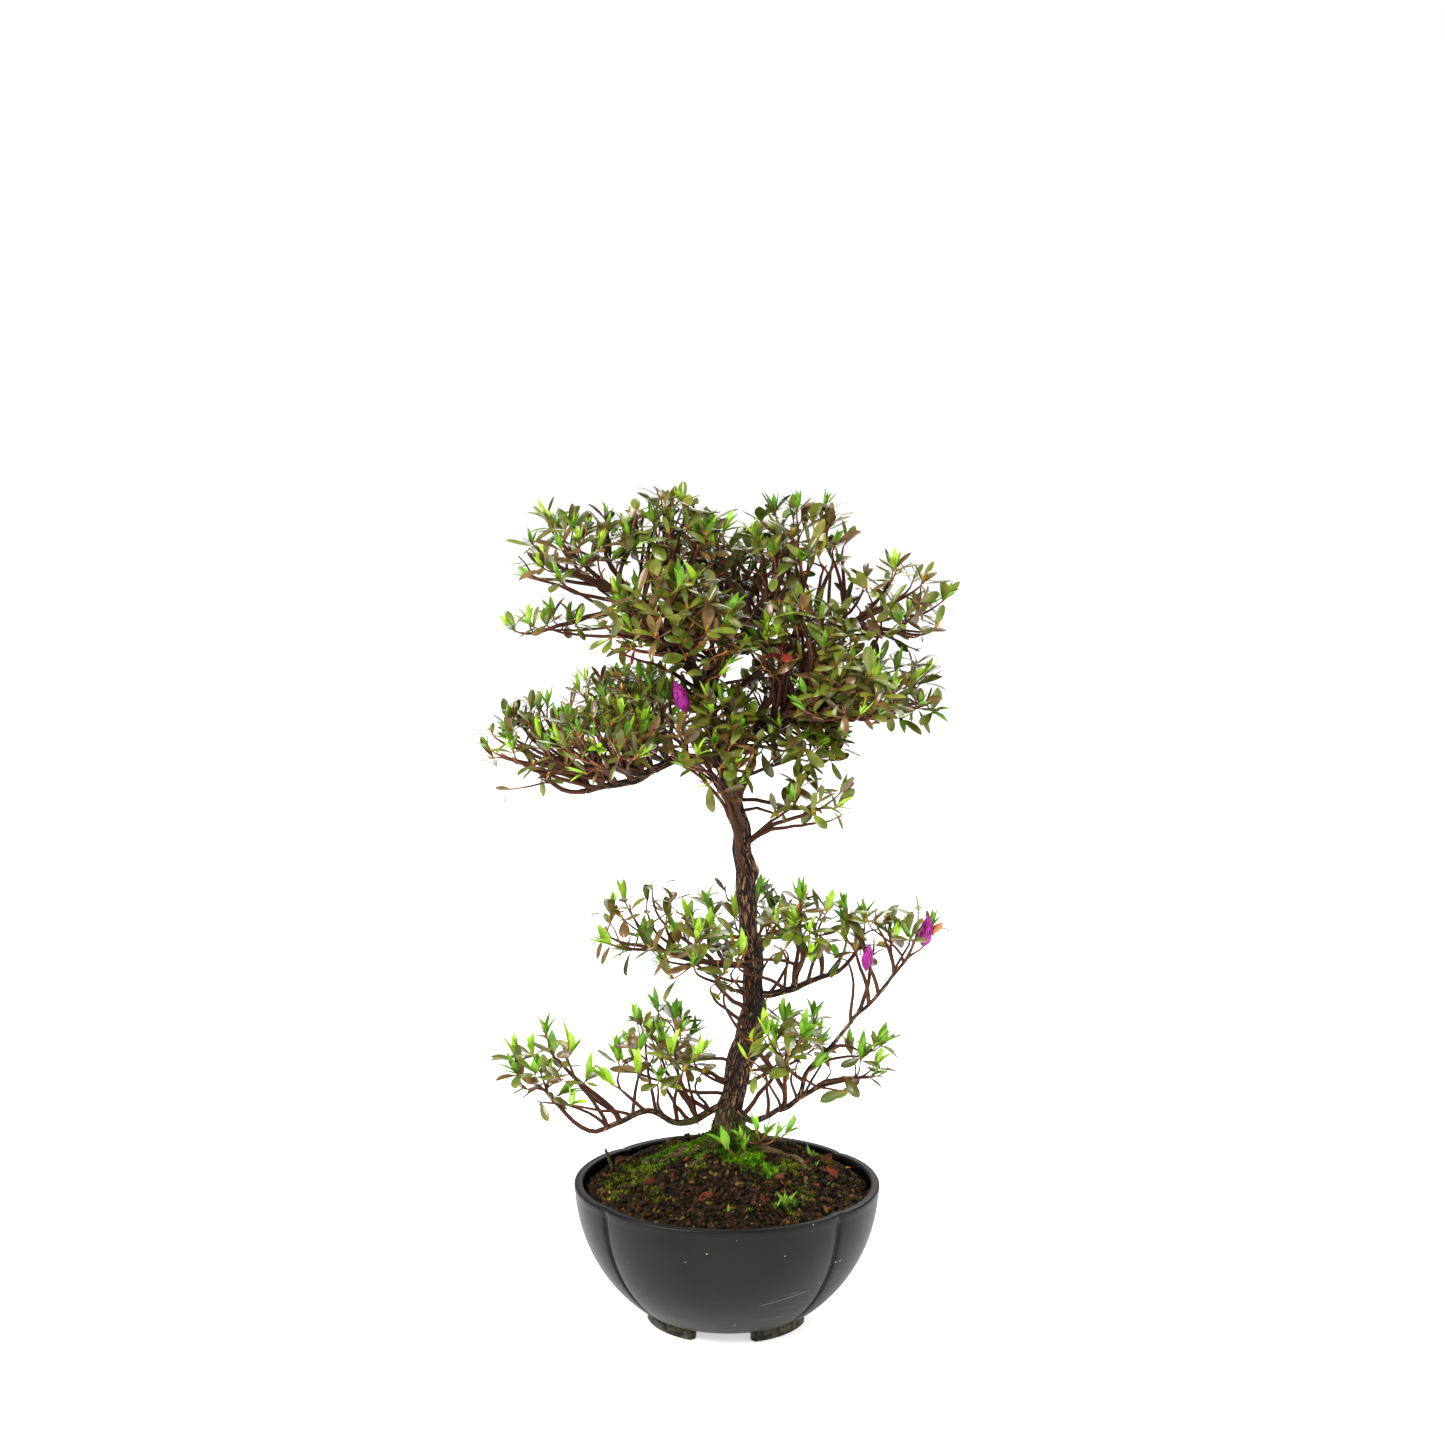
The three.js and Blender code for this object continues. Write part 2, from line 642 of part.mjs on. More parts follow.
// Nearest distance between two straight pieces
function between(a, b, c, d) {
  const u = b.clone().sub(a);
  const v = d.clone().sub(c);
  const w = a.clone().sub(c);
  const uu = Math.max(u.dot(u), 1e-9);
  const vv = Math.max(v.dot(v), 1e-9);
  const uv = u.dot(v);
  const bottom = uu * vv - uv * uv;
  const clamp = THREE.MathUtils.clamp;
  let s = bottom > 1e-9 ? clamp((uv * v.dot(w) - vv * u.dot(w)) / bottom, 0, 1) : 0;
  const t = clamp((uv * s + v.dot(w)) / vv, 0, 1);
  s = clamp((uv * t - u.dot(w)) / uu, 0, 1);
  return a.clone().addScaledVector(u, s).distanceTo(c.clone().addScaledVector(v, t));
}

// Whether a straight piece of some radius touches a limb
function touches(a, b, radius, skipped) {
  for (const limb of limbs.values()) {
    if (limb.name === skipped) continue;
    for (let i = 0; i + 1 < limb.points.length; i++) {
      const apart = between(a, b, limb.points[i], limb.points[i + 1]);
      const thick = Math.max(limb.radii[i], limb.radii[i + 1]) * KNOB;
      if (apart < thick + radius + CLEAR) return true;
    }
  }
  return false;
}

// A curve that leaves one way and arrives another, as a few points
function arc(start, startWay, end, endWay, steps) {
  const pull = start.distanceTo(end) * TWIG.start;
  const curve = new THREE.CubicBezierCurve3(
    start,
    start.clone().addScaledVector(startWay, pull),
    end.clone().addScaledVector(endWay, -pull),
    end,
  );
  return Array.from({ length: steps + 1 }, (_, i) => curve.getPoint(i / steps));
}

// Where a mass's twigs end: spread through its space, most of them near its skin
function twigEnds(mass, roll) {
  const ends = BUDS.filter((bud) => bud.mass === mass.name).map((bud) => ({ at: vec(bud.foot), bud }));
  const wanted = ends.length + mass.tips;
  const volume = mass.half.reduce((product, size) => product * size, SPREAD.fill);
  let spacing = Math.cbrt(volume / mass.tips);
  for (let tries = 0; tries < SPREAD.tries && ends.length < wanted; tries++) {
    const height = roll() * (1 - SPREAD.low) + SPREAD.low;
    const turn = roll() * 2 * Math.PI;
    const depth = SPREAD.deep + (1 - SPREAD.deep) * Math.sqrt(roll());
    const flat = Math.sqrt(1 - height * height);
    const out = [flat * Math.cos(turn), flat * Math.sin(turn), height];
    const spot = vec(mass.at).add(
      vec(out.map((part, i) => part * depth * Math.max(mass.half[i] - TWIG.inset, SPREAD.keep))),
    );
    spacing *= SPREAD.relax;
    if (!inSpace(spot, mass, SPREAD.keep)) continue;
    if (touches(spot, spot, SPREAD.keep)) continue;
    if (ends.some((end) => end.at.distanceTo(spot) < spacing)) continue;
    ends.push({ at: spot });
  }
  return ends;
}

// Grow a mass: the stem first, then a twig to each end from the place on the tree that suits it
function grow(mass, roll) {
  const limb = limbs.get(mass.on);
  const fromTrunk = mass.on === 'trunk';
  const carrier = fromTrunk ? 'trunk' : null;
  const middle = vec(mass.at);
  const last = limb.points.length - 1;
  let start = limb.points[last].clone();
  let way = start.clone().sub(limb.points[last - 1]).normalize();
  if (fromTrunk) {
    start = trunkLine.getPointAt(trunkShare(mass.from));
    way = middle.clone().sub(start).setZ(0).normalize();
    start.addScaledVector(way, trunkRadius(start.z) * STEM.depth);
    way.z = STEM.climb;
    way.normalize();
  }
  const twigs = [];
  const ends = twigEnds(mass, roll);
  ends.sort((a, b) => b.at.distanceTo(start) - a.at.distanceTo(start));
  for (const end of ends) {
    const outward = end.at.clone().sub(middle).normalize();
    const rise = new THREE.Vector3(0, 0, mass.young ? TWIG.rush : TWIG.lift);
    end.way = end.bud ? vec(end.bud.lean).normalize() : outward.add(rise).normalize();
    let best = null;
    const consider = (point, pointWay, path, twig, index) => {
      const leg = end.at.clone().sub(point);
      const length = leg.length();
      const turnAway = 1 - leg.normalize().dot(pointWay);
      const cost = length * (1 + TWIG.bend * turnAway) + TWIG.home * path;
      if (best && best.cost <= cost) return;
      const steps = Math.max(2, Math.round(length / TWIG.step));
      const points = arc(point, pointWay, end.at, end.way, steps);
      for (let i = 0; i + 1 < points.length; i++) {
        const own = !twig && i === 0 ? mass.on : carrier;
        if (touches(points[i], points[i + 1], TWIG.stem, own)) return;
        if (twig && !inSpace(points[i + 1], mass, MARGIN + TWIG.stem)) return;
      }
      best = { cost, points, twig, index, path };
    };
    if (!twigs.length) consider(start, way, 0, null, 0);
    for (const twig of twigs) {
      for (let i = 1; i + 1 < twig.points.length; i++) {
        const pointWay = twig.points[i + 1].clone().sub(twig.points[i - 1]).normalize();
        consider(twig.points[i], pointWay, twig.paths[i], twig, i);
      }
    }
    if (!best) continue;
    const paths = [best.path];
    for (let i = 1; i < best.points.length; i++) {
      paths.push(paths[i - 1] + best.points[i].distanceTo(best.points[i - 1]));
    }
    const loads = best.points.map(() => 1);
    twigs.push({ points: best.points, paths, loads, parent: best.twig, index: best.index, end });
  }
  for (const twig of [...twigs].reverse()) {
    for (let i = 0; twig.parent && i <= twig.index; i++) twig.parent.loads[i] += twig.loads[0];
  }
  return twigs;
}

// Corners of a leaf that grows from a face of its twig: two sides, the keel and the tip
function leafSpots(root, way, up, long, wide) {
  const face = up.clone().addScaledVector(way, -up.dot(way)).normalize();
  const side = way.clone().cross(face);
  const middle = root.clone().addScaledVector(way, long * LEAF.widest);
  return [
    middle.clone().addScaledVector(side, wide / 2),
    middle.clone().addScaledVector(side, -wide / 2),
    middle.clone().addScaledVector(face, -LEAF.thick * long),
    root.clone().addScaledVector(way, long),
  ];
}

// Replace one face of a twig by a leaf of nine faces, unless they would fold over each other
function addLeaf(vertices, faces, index, spots) {
  const root = faces[index];
  const corners = [...root.map((v) => vertices[v]), ...spots];
  const centre = new THREE.Vector3();
  for (let i = 0; i < 6; i++) centre.addScaledVector(corners[i], 1 / 6);
  const facesOut = ([a, b, c]) => {
    const normal = corners[b].clone().sub(corners[a]).cross(corners[c].clone().sub(corners[a]));
    return normal.dot(centre.clone().sub(corners[a])) < 0;
  };
  if (facesOut([0, 1, 2])) return false;
  const tip = 6;
  const ring = facesOut([3, 4, tip]) ? [3, 4, 5] : [5, 4, 3];
  const fit = (shift) =>
    [0, 1, 2].reduce((sum, k) => sum + corners[k].distanceTo(corners[ring[(k + shift) % 3]]), 0);
  for (const shift of [0, 1, 2].sort((a, b) => fit(a) - fit(b))) {
    const made = [];
    for (let k = 0; k < 3; k++) {
      const next = (k + 1) % 3;
      const above = ring[(k + shift) % 3];
      const aboveNext = ring[(next + shift) % 3];
      const sides = [
        [[k, next, aboveNext], [k, aboveNext, above]],
        [[k, next, above], [next, aboveNext, above]],
      ];
      made.push(...(sides.find((pair) => pair.every(facesOut)) ?? []), [above, aboveNext, tip]);
    }
    if (made.length < 9 || !made.every(facesOut)) continue;
    const first = vertices.length;
    vertices.push(...spots);
    const placed = made.map((face) => face.map((i) => (i < 3 ? root[i] : first + i - 3)));
    faces[index] = placed[0];
    faces.push(...placed.slice(1));
    return true;
  }
  return false;
}

// A twig of three sides, each ring turned against the last, with a whorl of leaves round its end
function sprig(twig, mass, roll) {
  const end = twig.end;
  const collar = end.at.clone().addScaledVector(end.way, -LEAF.collar);
  const points = [...twig.points.slice(0, -1), collar, end.at];
  const radii = twig.loads.map((load) => Math.min(TWIG.stem, TWIG.tip * load ** TWIG.branch));
  radii.push(TWIG.tip);
  const vertices = tubeRings(points, radii, TWIG.sides, () => 1, Math.PI / TWIG.sides).flat();
  const faces = [[0, 2, 1]];
  for (let i = 0; i + 1 < points.length; i++) {
    const low = i * 3;
    for (let k = 0; k < 3; k++) {
      const next = (k + 1) % 3;
      faces.push([low + k, low + next, low + 3 + k], [low + next, low + 3 + next, low + 3 + k]);
    }
  }
  const cap = faces.length;
  const top = points.length * 3 - 3;
  faces.push([top, top + 1, top + 2]);

  const upright = !end.bud && (mass.young || roll() < SHOOT.share);
  const [least, most] = upright ? SHOOT.spread : LEAF.spread;
  const around = 2 * TWIG.sides;
  for (let place = 0; place < (end.bud ? around : around + 1); place++) {
    const onCap = place === around;
    if ((upright || end.bud) && place % 2 && !onCap) continue;
    if (roll() < (onCap && !upright ? LEAF.topBare : LEAF.bare)) continue;
    const index = onCap ? cap : cap - around + place;
    const root = new THREE.Vector3();
    for (const v of faces[index]) root.addScaledVector(vertices[v], 1 / 3);
    const out = root.clone().sub(collar);
    out.addScaledVector(end.way, -out.dot(end.way)).normalize();
    for (let tries = 0; tries < LEAF.tries; tries++) {
      const spread = radians(onCap ? LEAF.topSpread : least + (most - least) * roll());
      const way = end.way
        .clone()
        .multiplyScalar(Math.cos(spread))
        .addScaledVector(out, Math.sin(spread));
      const shrink = 1 - (LEAF.shrink * tries) / LEAF.tries;
      const long = (LEAF.long[0] + (LEAF.long[1] - LEAF.long[0]) * roll()) * shrink;
      const wide = long * (upright || onCap ? SHOOT.wide : LEAF.wide);
      const up = onCap ? out : end.way;
      const spots = leafSpots(root, way, up, long, wide);
      if (!spots.every((spot) => inSpace(spot, mass, MARGIN, LEAF.over))) continue;
      if (touches(root, spots[3], wide / 2)) continue;
      if (addLeaf(vertices, faces, index, spots)) break;
    }
  }
  return end.bud ? [solid(vertices, faces), bloom(end)] : [solid(vertices, faces)];
}

// A plump pointed flower bud on its twig
function bloom(end) {
  const across = new THREE.Vector3(1, 0, 0).cross(end.way).normalize();
  const rings = BUD.rings.map(([share, fat]) => {
    const centre = end.at.clone().addScaledVector(end.way, share * BUD.long - BUD.sunk);
    return Array.from({ length: BUD.sides }, (_, k) => {
      const out = across.clone().applyAxisAngle(end.way, (2 * Math.PI * k) / BUD.sides);
      return centre.clone().addScaledVector(out, BUD.thick * fat);
    });
  });
  const tip = end.at.clone().addScaledVector(end.way, BUD.long - BUD.sunk);
  return skin([...rings, [tip]]);
}

// The mass as one solid
function makeMass(mass, index) {
  const roll = dice(SEED + index + MASSES.length * (mass.again ?? 0));
  mass.walls = wallsOf(mass);
  const pieces = grow(mass, roll).flatMap((twig) => sprig(twig, mass, roll));
  return largest(wasm.Manifold.union(pieces).subtract(limbs.get(mass.on).grown));
}

makeLimbs();
place('pot', makePot(), finish.pot);
place('soil', makeSoil(), finish.soil);
for (const limb of limbs.values()) place(limb.name, limb.shape, finish.bark);
MASSES.forEach((mass, index) => place(mass.name, makeMass(mass, index), finish.foliage));

// The finished group stands with the middle of its whole width and depth over the origin
const box = new THREE.Box3().setFromObject(model);
const middle = box.getCenter(new THREE.Vector3());
model.position.set(-middle.x, -middle.y, -box.min.z);

export default model;
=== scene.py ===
# %% [markdown]
# # A bonsai azalea in an oval pot
#
# A small flowering azalea, kept as a tree 44 cm tall, stands in a dark plastic pot with four
# lobes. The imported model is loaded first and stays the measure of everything: each piece
# made here takes the place of solids that are already where they belong.
# All sizes below are millimetres from the middle of the pot, with z = 0 under its feet,
# because that is how the plant was laid out. Blender works in metres, so one helper turns
# millimetres into metres and adds the pot's place at the moment a mesh is made.

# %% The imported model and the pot's place in it
import json
import math

import bpy
import numpy as np
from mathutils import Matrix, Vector

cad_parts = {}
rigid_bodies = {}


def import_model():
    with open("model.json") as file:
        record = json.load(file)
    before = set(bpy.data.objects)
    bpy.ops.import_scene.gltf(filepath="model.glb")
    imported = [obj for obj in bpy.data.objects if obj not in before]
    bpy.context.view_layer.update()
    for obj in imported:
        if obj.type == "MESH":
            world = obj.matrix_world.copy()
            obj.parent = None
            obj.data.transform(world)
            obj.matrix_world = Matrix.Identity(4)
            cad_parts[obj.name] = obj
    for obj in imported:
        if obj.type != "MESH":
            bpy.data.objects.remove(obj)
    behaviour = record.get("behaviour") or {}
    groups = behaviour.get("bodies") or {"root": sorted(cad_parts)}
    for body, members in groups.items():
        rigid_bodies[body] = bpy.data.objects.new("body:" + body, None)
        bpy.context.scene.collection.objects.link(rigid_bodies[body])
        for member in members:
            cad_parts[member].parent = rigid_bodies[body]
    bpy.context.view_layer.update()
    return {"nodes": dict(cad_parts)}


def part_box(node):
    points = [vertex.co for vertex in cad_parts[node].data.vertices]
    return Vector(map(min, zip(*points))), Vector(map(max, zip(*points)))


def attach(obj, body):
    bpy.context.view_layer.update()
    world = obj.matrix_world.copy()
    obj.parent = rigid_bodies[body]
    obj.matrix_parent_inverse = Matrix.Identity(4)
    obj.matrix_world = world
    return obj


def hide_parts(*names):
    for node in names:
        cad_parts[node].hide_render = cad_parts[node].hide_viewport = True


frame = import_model()
MM = 0.001
pot_low, pot_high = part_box("pot")
ORIGIN = np.array([(pot_low.x + pot_high.x) / 2, (pot_low.y + pot_high.y) / 2, 0.0])
print(len(frame["nodes"]), "solids; the pot's middle is at", ORIGIN.round(4))

# %% [markdown]
# ## Two writers of nodes
#
# Materials and Geometry Nodes are both written as expressions. `Value` wraps a socket, and an
# operator on it adds the Math node that works it out, so `1 - mask` reads as it would on
# paper. Every other node comes from `node`, which sets what kind it is before it plugs in
# numbers or links. Clicking nodes together by hand would give the same trees, but a
# reader could not follow them line by line.


# %% Values and writers
class Value:
    """A socket in a tree; operators add Math nodes to that tree."""

    def __init__(self, writer, socket):
        self.writer = writer
        self.socket = socket

    def math(self, operation, *numbers):
        settings = {"operation": operation}
        return self.writer.node("ShaderNodeMath", settings, dict(enumerate(numbers)))

    def __add__(self, other):
        return self.math("ADD", self, other)

    def __sub__(self, other):
        return self.math("SUBTRACT", self, other)

    def __rsub__(self, other):
        return self.math("SUBTRACT", other, self)

    def __mul__(self, other):
        return self.math("MULTIPLY", self, other)

    def __pow__(self, other):
        return self.math("POWER", self, other)

    __radd__ = __add__
    __rmul__ = __mul__

    def between(self, low, high):
        """0 at low, 1 at high, smooth on the way."""
        settings = {"interpolation_type": "SMOOTHSTEP"}
        return self.writer.node("ShaderNodeMapRange", settings, {0: self, 1: low, 2: high})


class Writer:
    """Adds nodes to a tree."""

    def __init__(self, tree):
        self.tree = tree

    def node(self, kind, settings=None, sockets=None, out=0):
        made = self.tree.nodes.new(kind)
        for name, value in (settings or {}).items():
            setattr(made, name, value)
        for name, value in (sockets or {}).items():
            self.plug(self.shown(made.inputs, name), value)
        return Value(self, self.shown(made.outputs, out))

    def shown(self, sockets, name):
        """A socket by its name or its number among those in use."""
        used = [socket for socket in sockets if socket.enabled]
        return used[name] if isinstance(name, int) else next(s for s in used if s.name == name)

    def plug(self, socket, value):
        if isinstance(value, Value):
            self.tree.links.new(value.socket, socket)
        else:
            socket.default_value = value


def rgb(red, green, blue):
    """A colour as seen on a screen, 0 to 255, as the light that Blender reckons with."""
    screen = np.array([red, green, blue]) / 255
    light = np.where(screen > 0.04045, ((screen + 0.055) / 1.055) ** 2.4, screen / 12.92)
    return (*light.tolist(), 1.0)


WHITE = rgb(255, 255, 255)


class Finish(Writer):
    """A material: uniform values are set on the shader, the rest is plugged in."""

    def __init__(self, name, **uniform):
        self.material = bpy.data.materials.new(name)
        self.material.use_nodes = True
        super().__init__(self.material.node_tree)
        self.shader = self.tree.nodes["Principled BSDF"]
        self.put(**uniform)
        self.place = self.node("ShaderNodeTexCoord", out="Object")

    def put(self, **values):
        for name, value in values.items():
            self.plug(self.shader.inputs[name.replace("_", " ")], value)

    def noise(self, scale, detail=2.0, vector=None, roughness=0.5):
        sockets = {"Scale": scale, "Detail": detail, "Roughness": roughness}
        sockets["Vector"] = vector or self.place
        return self.node("ShaderNodeTexNoise", None, sockets)

    def cells(self, scale, feature="F1", out="Distance"):
        sockets = {"Vector": self.place, "Scale": scale}
        return self.node("ShaderNodeTexVoronoi", {"feature": feature}, sockets, out)

    def mix(self, share, first, second):
        settings = {"data_type": "RGBA"}
        return self.node("ShaderNodeMix", settings, {0: share, 1: first, 2: second})

    def stretched(self, vector, factors, shift=(0, 0, 0)):
        sockets = {"Vector": vector, "Scale": factors, "Location": shift}
        return self.node("ShaderNodeMapping", None, sockets)

    def mark(self, name, out="Fac"):
        return self.node("ShaderNodeAttribute", {"attribute_name": name}, None, out)

    def axis(self, letter):
        return self.node("ShaderNodeSeparateXYZ", None, {0: self.place}, letter)

    def bump(self, height, distance, strength=1.0):
        sockets = {"Height": height, "Distance": distance * MM, "Strength": strength}
        self.put(Normal=self.node("ShaderNodeBump", None, sockets))


print("writers ready")

# %% [markdown]
# ## Camera, floor and light
#
# The plant was photographed on white, from 1.2 m away and a little above the crown, with a
# long lens. The camera's height and tilt were worked out from the pot's rim and feet. A
# white floor and a white sky make the horizon vanish, as a paper sweep would, and still
# leave room for views from any side. Three large soft lamps give the leaves their pale gloss.

# %% Camera, floor and lamps
scene = bpy.context.scene
scene.view_settings.view_transform = "Standard"
scene.view_settings.look = "None"


def metres(spots):
    return np.asarray(spots, float) * MM + ORIGIN


CAMERA = {"at": (0, -1213.65, 540.88), "tilt": 10.34, "turn": 0.106, "lens": 60.49, "film": 36.0}
lens = bpy.data.cameras.new("camera")
lens.lens = CAMERA["lens"]
lens.sensor_width = CAMERA["film"]
camera = bpy.data.objects.new("camera", lens)
camera.location = metres(CAMERA["at"])
camera.rotation_euler = (math.radians(90 - CAMERA["tilt"]), 0, math.radians(CAMERA["turn"]))
scene.collection.objects.link(camera)
scene.camera = camera

world = bpy.data.worlds.new("white sky")
world.use_nodes = True
sky = Writer(world.node_tree)
SKY_LIGHT = 0.54  # the paper gives off as much, so that no horizon shows
seen = sky.node("ShaderNodeLightPath", out="Is Camera Ray")
shine = world.node_tree.nodes["Background"].inputs
sky.plug(shine["Color"], WHITE)
sky.plug(shine["Strength"], seen * (1 - SKY_LIGHT) + SKY_LIGHT)
scene.world = world

FLOOR = 40.0
paper = Finish("paper floor", Base_Color=WHITE, Roughness=1.0)
paper.put(Emission_Color=WHITE, Emission_Strength=SKY_LIGHT)
floor_mesh = bpy.data.meshes.new("floor")
corners = [(x * FLOOR, y * FLOOR, 0) for x, y in ((-1, -1), (1, -1), (1, 1), (-1, 1))]
floor_mesh.from_pydata(corners, [], [(0, 1, 2, 3)])
floor = bpy.data.objects.new("floor", floor_mesh)
floor_mesh.materials.append(paper.material)
scene.collection.objects.link(floor)

LAMPS_AIM = Vector((0, 0, 0.25))
LAMPS = {
    "key lamp": {"at": (-900, -800, 1300), "size": 0.8, "power": 40},
    "fill lamp": {"at": (1100, -500, 900), "size": 1.1, "power": 11},
    "back lamp": {"at": (300, 1000, 1200), "size": 0.9, "power": 15},
}
for name, lamp in LAMPS.items():
    data = bpy.data.lights.new(name, "AREA")
    data.size = lamp["size"]
    data.energy = lamp["power"]
    light = bpy.data.objects.new(name, data)
    light.location = metres(lamp["at"])
    aim = LAMPS_AIM - light.location
    light.rotation_euler = aim.to_track_quat("-Z", "Y").to_euler()
    scene.collection.objects.link(light)
print("camera", camera.location[:], "and", len(LAMPS), "lamps")

# %% [markdown]
# ## The plant's named sizes
#
# These are the tables that the solids were grown from: the trunk's centre line and radius, the
# boughs with the bends on their way, and the space of each mass of foliage. The same
# rule runs here again on the same tables and the same dice, so the twigs drawn below are
# the twigs of the solids, and finer ones are then grown between them.

# %% Trunk, boughs and masses
SEED, SIDE_SEED, FINE_SEED = 11, 911, 511
CLEAR = 0.7  # air kept between a twig and a limb that it passes
KNOB = 1.15  # how much thicker than its line a limb's knots make it
TRUNK = [
    (89, 1, 14, 12.6), (94, 1.2, 13.8, 9.6), (103, 1.4, 13.2, 7.6), (118, 2.6, 12.6, 6.5),
    (136, 7, 11.6, 7.3), (148, 10.8, 10.8, 7.2), (164, 13, 9.8, 5.6), (187, 13.6, 8.6, 5.1),
    (212, 11.8, 7.4, 5), (238, 9.6, 6.4, 5.4), (256, 7.8, 6, 4.5), (276, 3, 5.8, 4.4),
    (298, -1.6, 5.6, 4.3), (322, -8.4, 5.2, 4.6), (344, -12.4, 4, 4.4),
]  # height, x, y, radius
BOUGHS = [
    ("left_limb", "trunk", 341, [(-25, 1, 351)], (-45, -2, 366), (2.9, 1.8)),
    ("right_limb", "trunk", 337, [(-2, 3, 353)], (15, -6, 361), (2.8, 1.9)),
    ("left_top_bough", "left_limb", 0.62, [(-46, 2, 376)], (-60, 0, 387), (1.9, 1.4)),
    ("top_bough", "left_limb", 0.42, [(-29, 3, 372)], (-26, 5, 388), (2.1, 1.5)),
    ("top_back_bough", "left_limb", 0.3, [(-15, 20, 358)], (-6, 32, 368), (2, 1.4)),
    ("top_front_bough", "left_limb", 0.36, [(-23, -12, 358)], (-18, -25, 365), (1.9, 1.4)),
    ("right_top_bough", "right_limb", 0.72, [(12, 3, 371)], (22, 6, 385), (2, 1.4)),
    ("right_long_bough", "right_limb", 0.5, [(24, 6, 360)], (60, 2, 368), (2, 1.4)),
    (
        "left_pad_limb", "trunk", 296,
        [(-26, 1, 300), (-50, -5, 290)], (-72, -8, 286), (2.7, 1.6),
    ),
    ("left_inner_bough", "left_pad_limb", 0.3, [], (-37, 0, 308), (1.7, 1.3)),
    ("left_front_bough", "left_pad_limb", 0.48, [(-44, -14, 295)], (-52, -27, 299), (1.7, 1.2)),
    ("left_back_bough", "left_pad_limb", 0.36, [(-36, 14, 298)], (-47, 28, 302), (1.7, 1.2)),
    (
        "right_pad_limb", "trunk", 302,
        [(16, -1, 317), (32, -12, 325)], (44, -26, 329), (2.6, 1.6),
    ),
    ("right_outer_bough", "right_pad_limb", 0.36, [(38, 2, 318)], (66, -2, 322), (1.9, 1.4)),
    ("right_back_bough", "right_pad_limb", 0.25, [(18, 16, 314)], (30, 30, 317), (1.8, 1.3)),
    ("mid_left_bough", "trunk", 190, [(-12, 6, 191)], (-32, 4, 198), (1.9, 1.3)),
    ("mid_right_bough", "trunk", 172, [(27, 5, 176)], (54, 0, 187), (2.1, 1.4)),
    ("mid_upright_bough", "mid_right_bough", 0.5, [], (39, -2, 194), (1.6, 1.2)),
    (
        "low_left_bough", "trunk", 112,
        [(-24, 4, 105), (-41, -6, 114)], (-64, -11, 107), (2.1, 1.4),
    ),
    (
        "low_right_bough", "trunk", 112,
        [(15, 0, 107), (26, -10, 118)], (30, -16, 131), (1.9, 1.3),
    ),
    ("low_outer_bough", "low_right_bough", 0.7, [(34, -10, 122)], (47, -9, 129), (1.5, 1.2)),
    (
        "bud_bough", "low_outer_bough", 0.5,
        [(47, -15, 146), (76, -16, 179)], (92, -13, 200), (1.2, 0.9),
    ),
]  # name, parent, where it leaves it, bends, tip, radius at root and tip
MASSES = [
    ("crown_top", "top_bough", (-28, 4, 408), (38, 34, 32), 8),
    ("crown_top_left", "left_top_bough", (-77, -2, 403), (36, 32, 30), 7),
    ("crown_top_right", "right_top_bough", (35, 8, 406), (34, 34, 32), 8),
    ("crown_right", "right_long_bough", (84, 0, 374), (33, 32, 36), 8),
    ("crown_left_spur", "left_limb", (-84, 0, 370), (34, 22, 14), 3),
    ("crown_front", "top_front_bough", (-26, -40, 374), (42, 32, 32), 8),
    ("crown_back", "top_back_bough", (0, 48, 384), (50, 34, 36), 8),
    ("crown_middle", "right_limb", (40, -24, 364), (32, 28, 28), 6),
    ("right_pad_outer", "right_outer_bough", (86, -2, 334), (30, 32, 28), 6),
    ("left_pad_outer", "left_pad_limb", (-95, -6, 302), (33, 30, 37), 7),
    ("left_pad_inner", "left_inner_bough", (-42, 0, 322), (32, 28, 30), 6),
    ("left_pad_front", "left_front_bough", (-58, -42, 312), (34, 28, 30), 6),
    ("left_pad_back", "left_back_bough", (-58, 44, 314), (38, 30, 32), 6),
    ("centre_front", 312, (-6, -33, 312), (28, 24, 34), 6),
    ("right_pad_inner", 290, (37, -6, 309), (30, 24, 24), 6),
    ("right_pad_low", 279, (40, -22, 281), (27, 22, 19), 4),
    ("right_pad_back", "right_back_bough", (44, 47, 326), (38, 32, 34), 6),
    ("right_pad_front", "right_pad_limb", (60, -45, 338), (33, 28, 28), 6),
    ("mid_left", "mid_left_bough", (-42, 4, 210), (31, 26, 32), 5),
    ("mid_left_front", 181, (-18, -26, 203), (28, 24, 28), 4),
    ("mid_upright", "mid_upright_bough", (38, -6, 213), (22, 24, 28), 4),
    ("mid_right", "mid_right_bough", (72, 2, 204), (22, 26, 29), 4),
    ("mid_back", 186, (10, 42, 200), (36, 28, 30), 5),
    ("bud_spray", "bud_bough", (98, -13, 214), (16, 16, 20), 0),
    ("low_left_outer", "low_left_bough", (-92, -13, 135), (29, 26, 33), 6),
    ("low_left_inner", 118, (-39, -6, 140), (33, 28, 28), 6),
    ("low_left_back", 124, (-34, 40, 137), (30, 26, 27), 5),
    ("low_right", "low_right_bough", (32, -26, 152), (24, 24, 27), 4),
    ("low_right_outer", "low_outer_bough", (68, -8, 141), (28, 22, 22), 4),
    ("low_back", 120, (34, 42, 136), (30, 26, 26), 4),
    ("foot_shoots", 94, (17, -5, 101), (24, 12, 13), 3),
]  # name, bough or height on the trunk, middle and half sizes of its space, twig ends
AGAIN = {"right_pad_inner", "bud_spray"}
BUDS = [
    ("centre_front", (-24, -34, 321), (0.1, -0.1, 1)),
    ("bud_spray", (100, -13, 206), (0.1, -0.1, 1)),
    ("mid_right", (72, -12, 192), (0.12, -0.1, 1)),
    ("crown_top", (-19, -16, 392), (-0.1, -0.2, 1)),
]  # mass, foot, lean
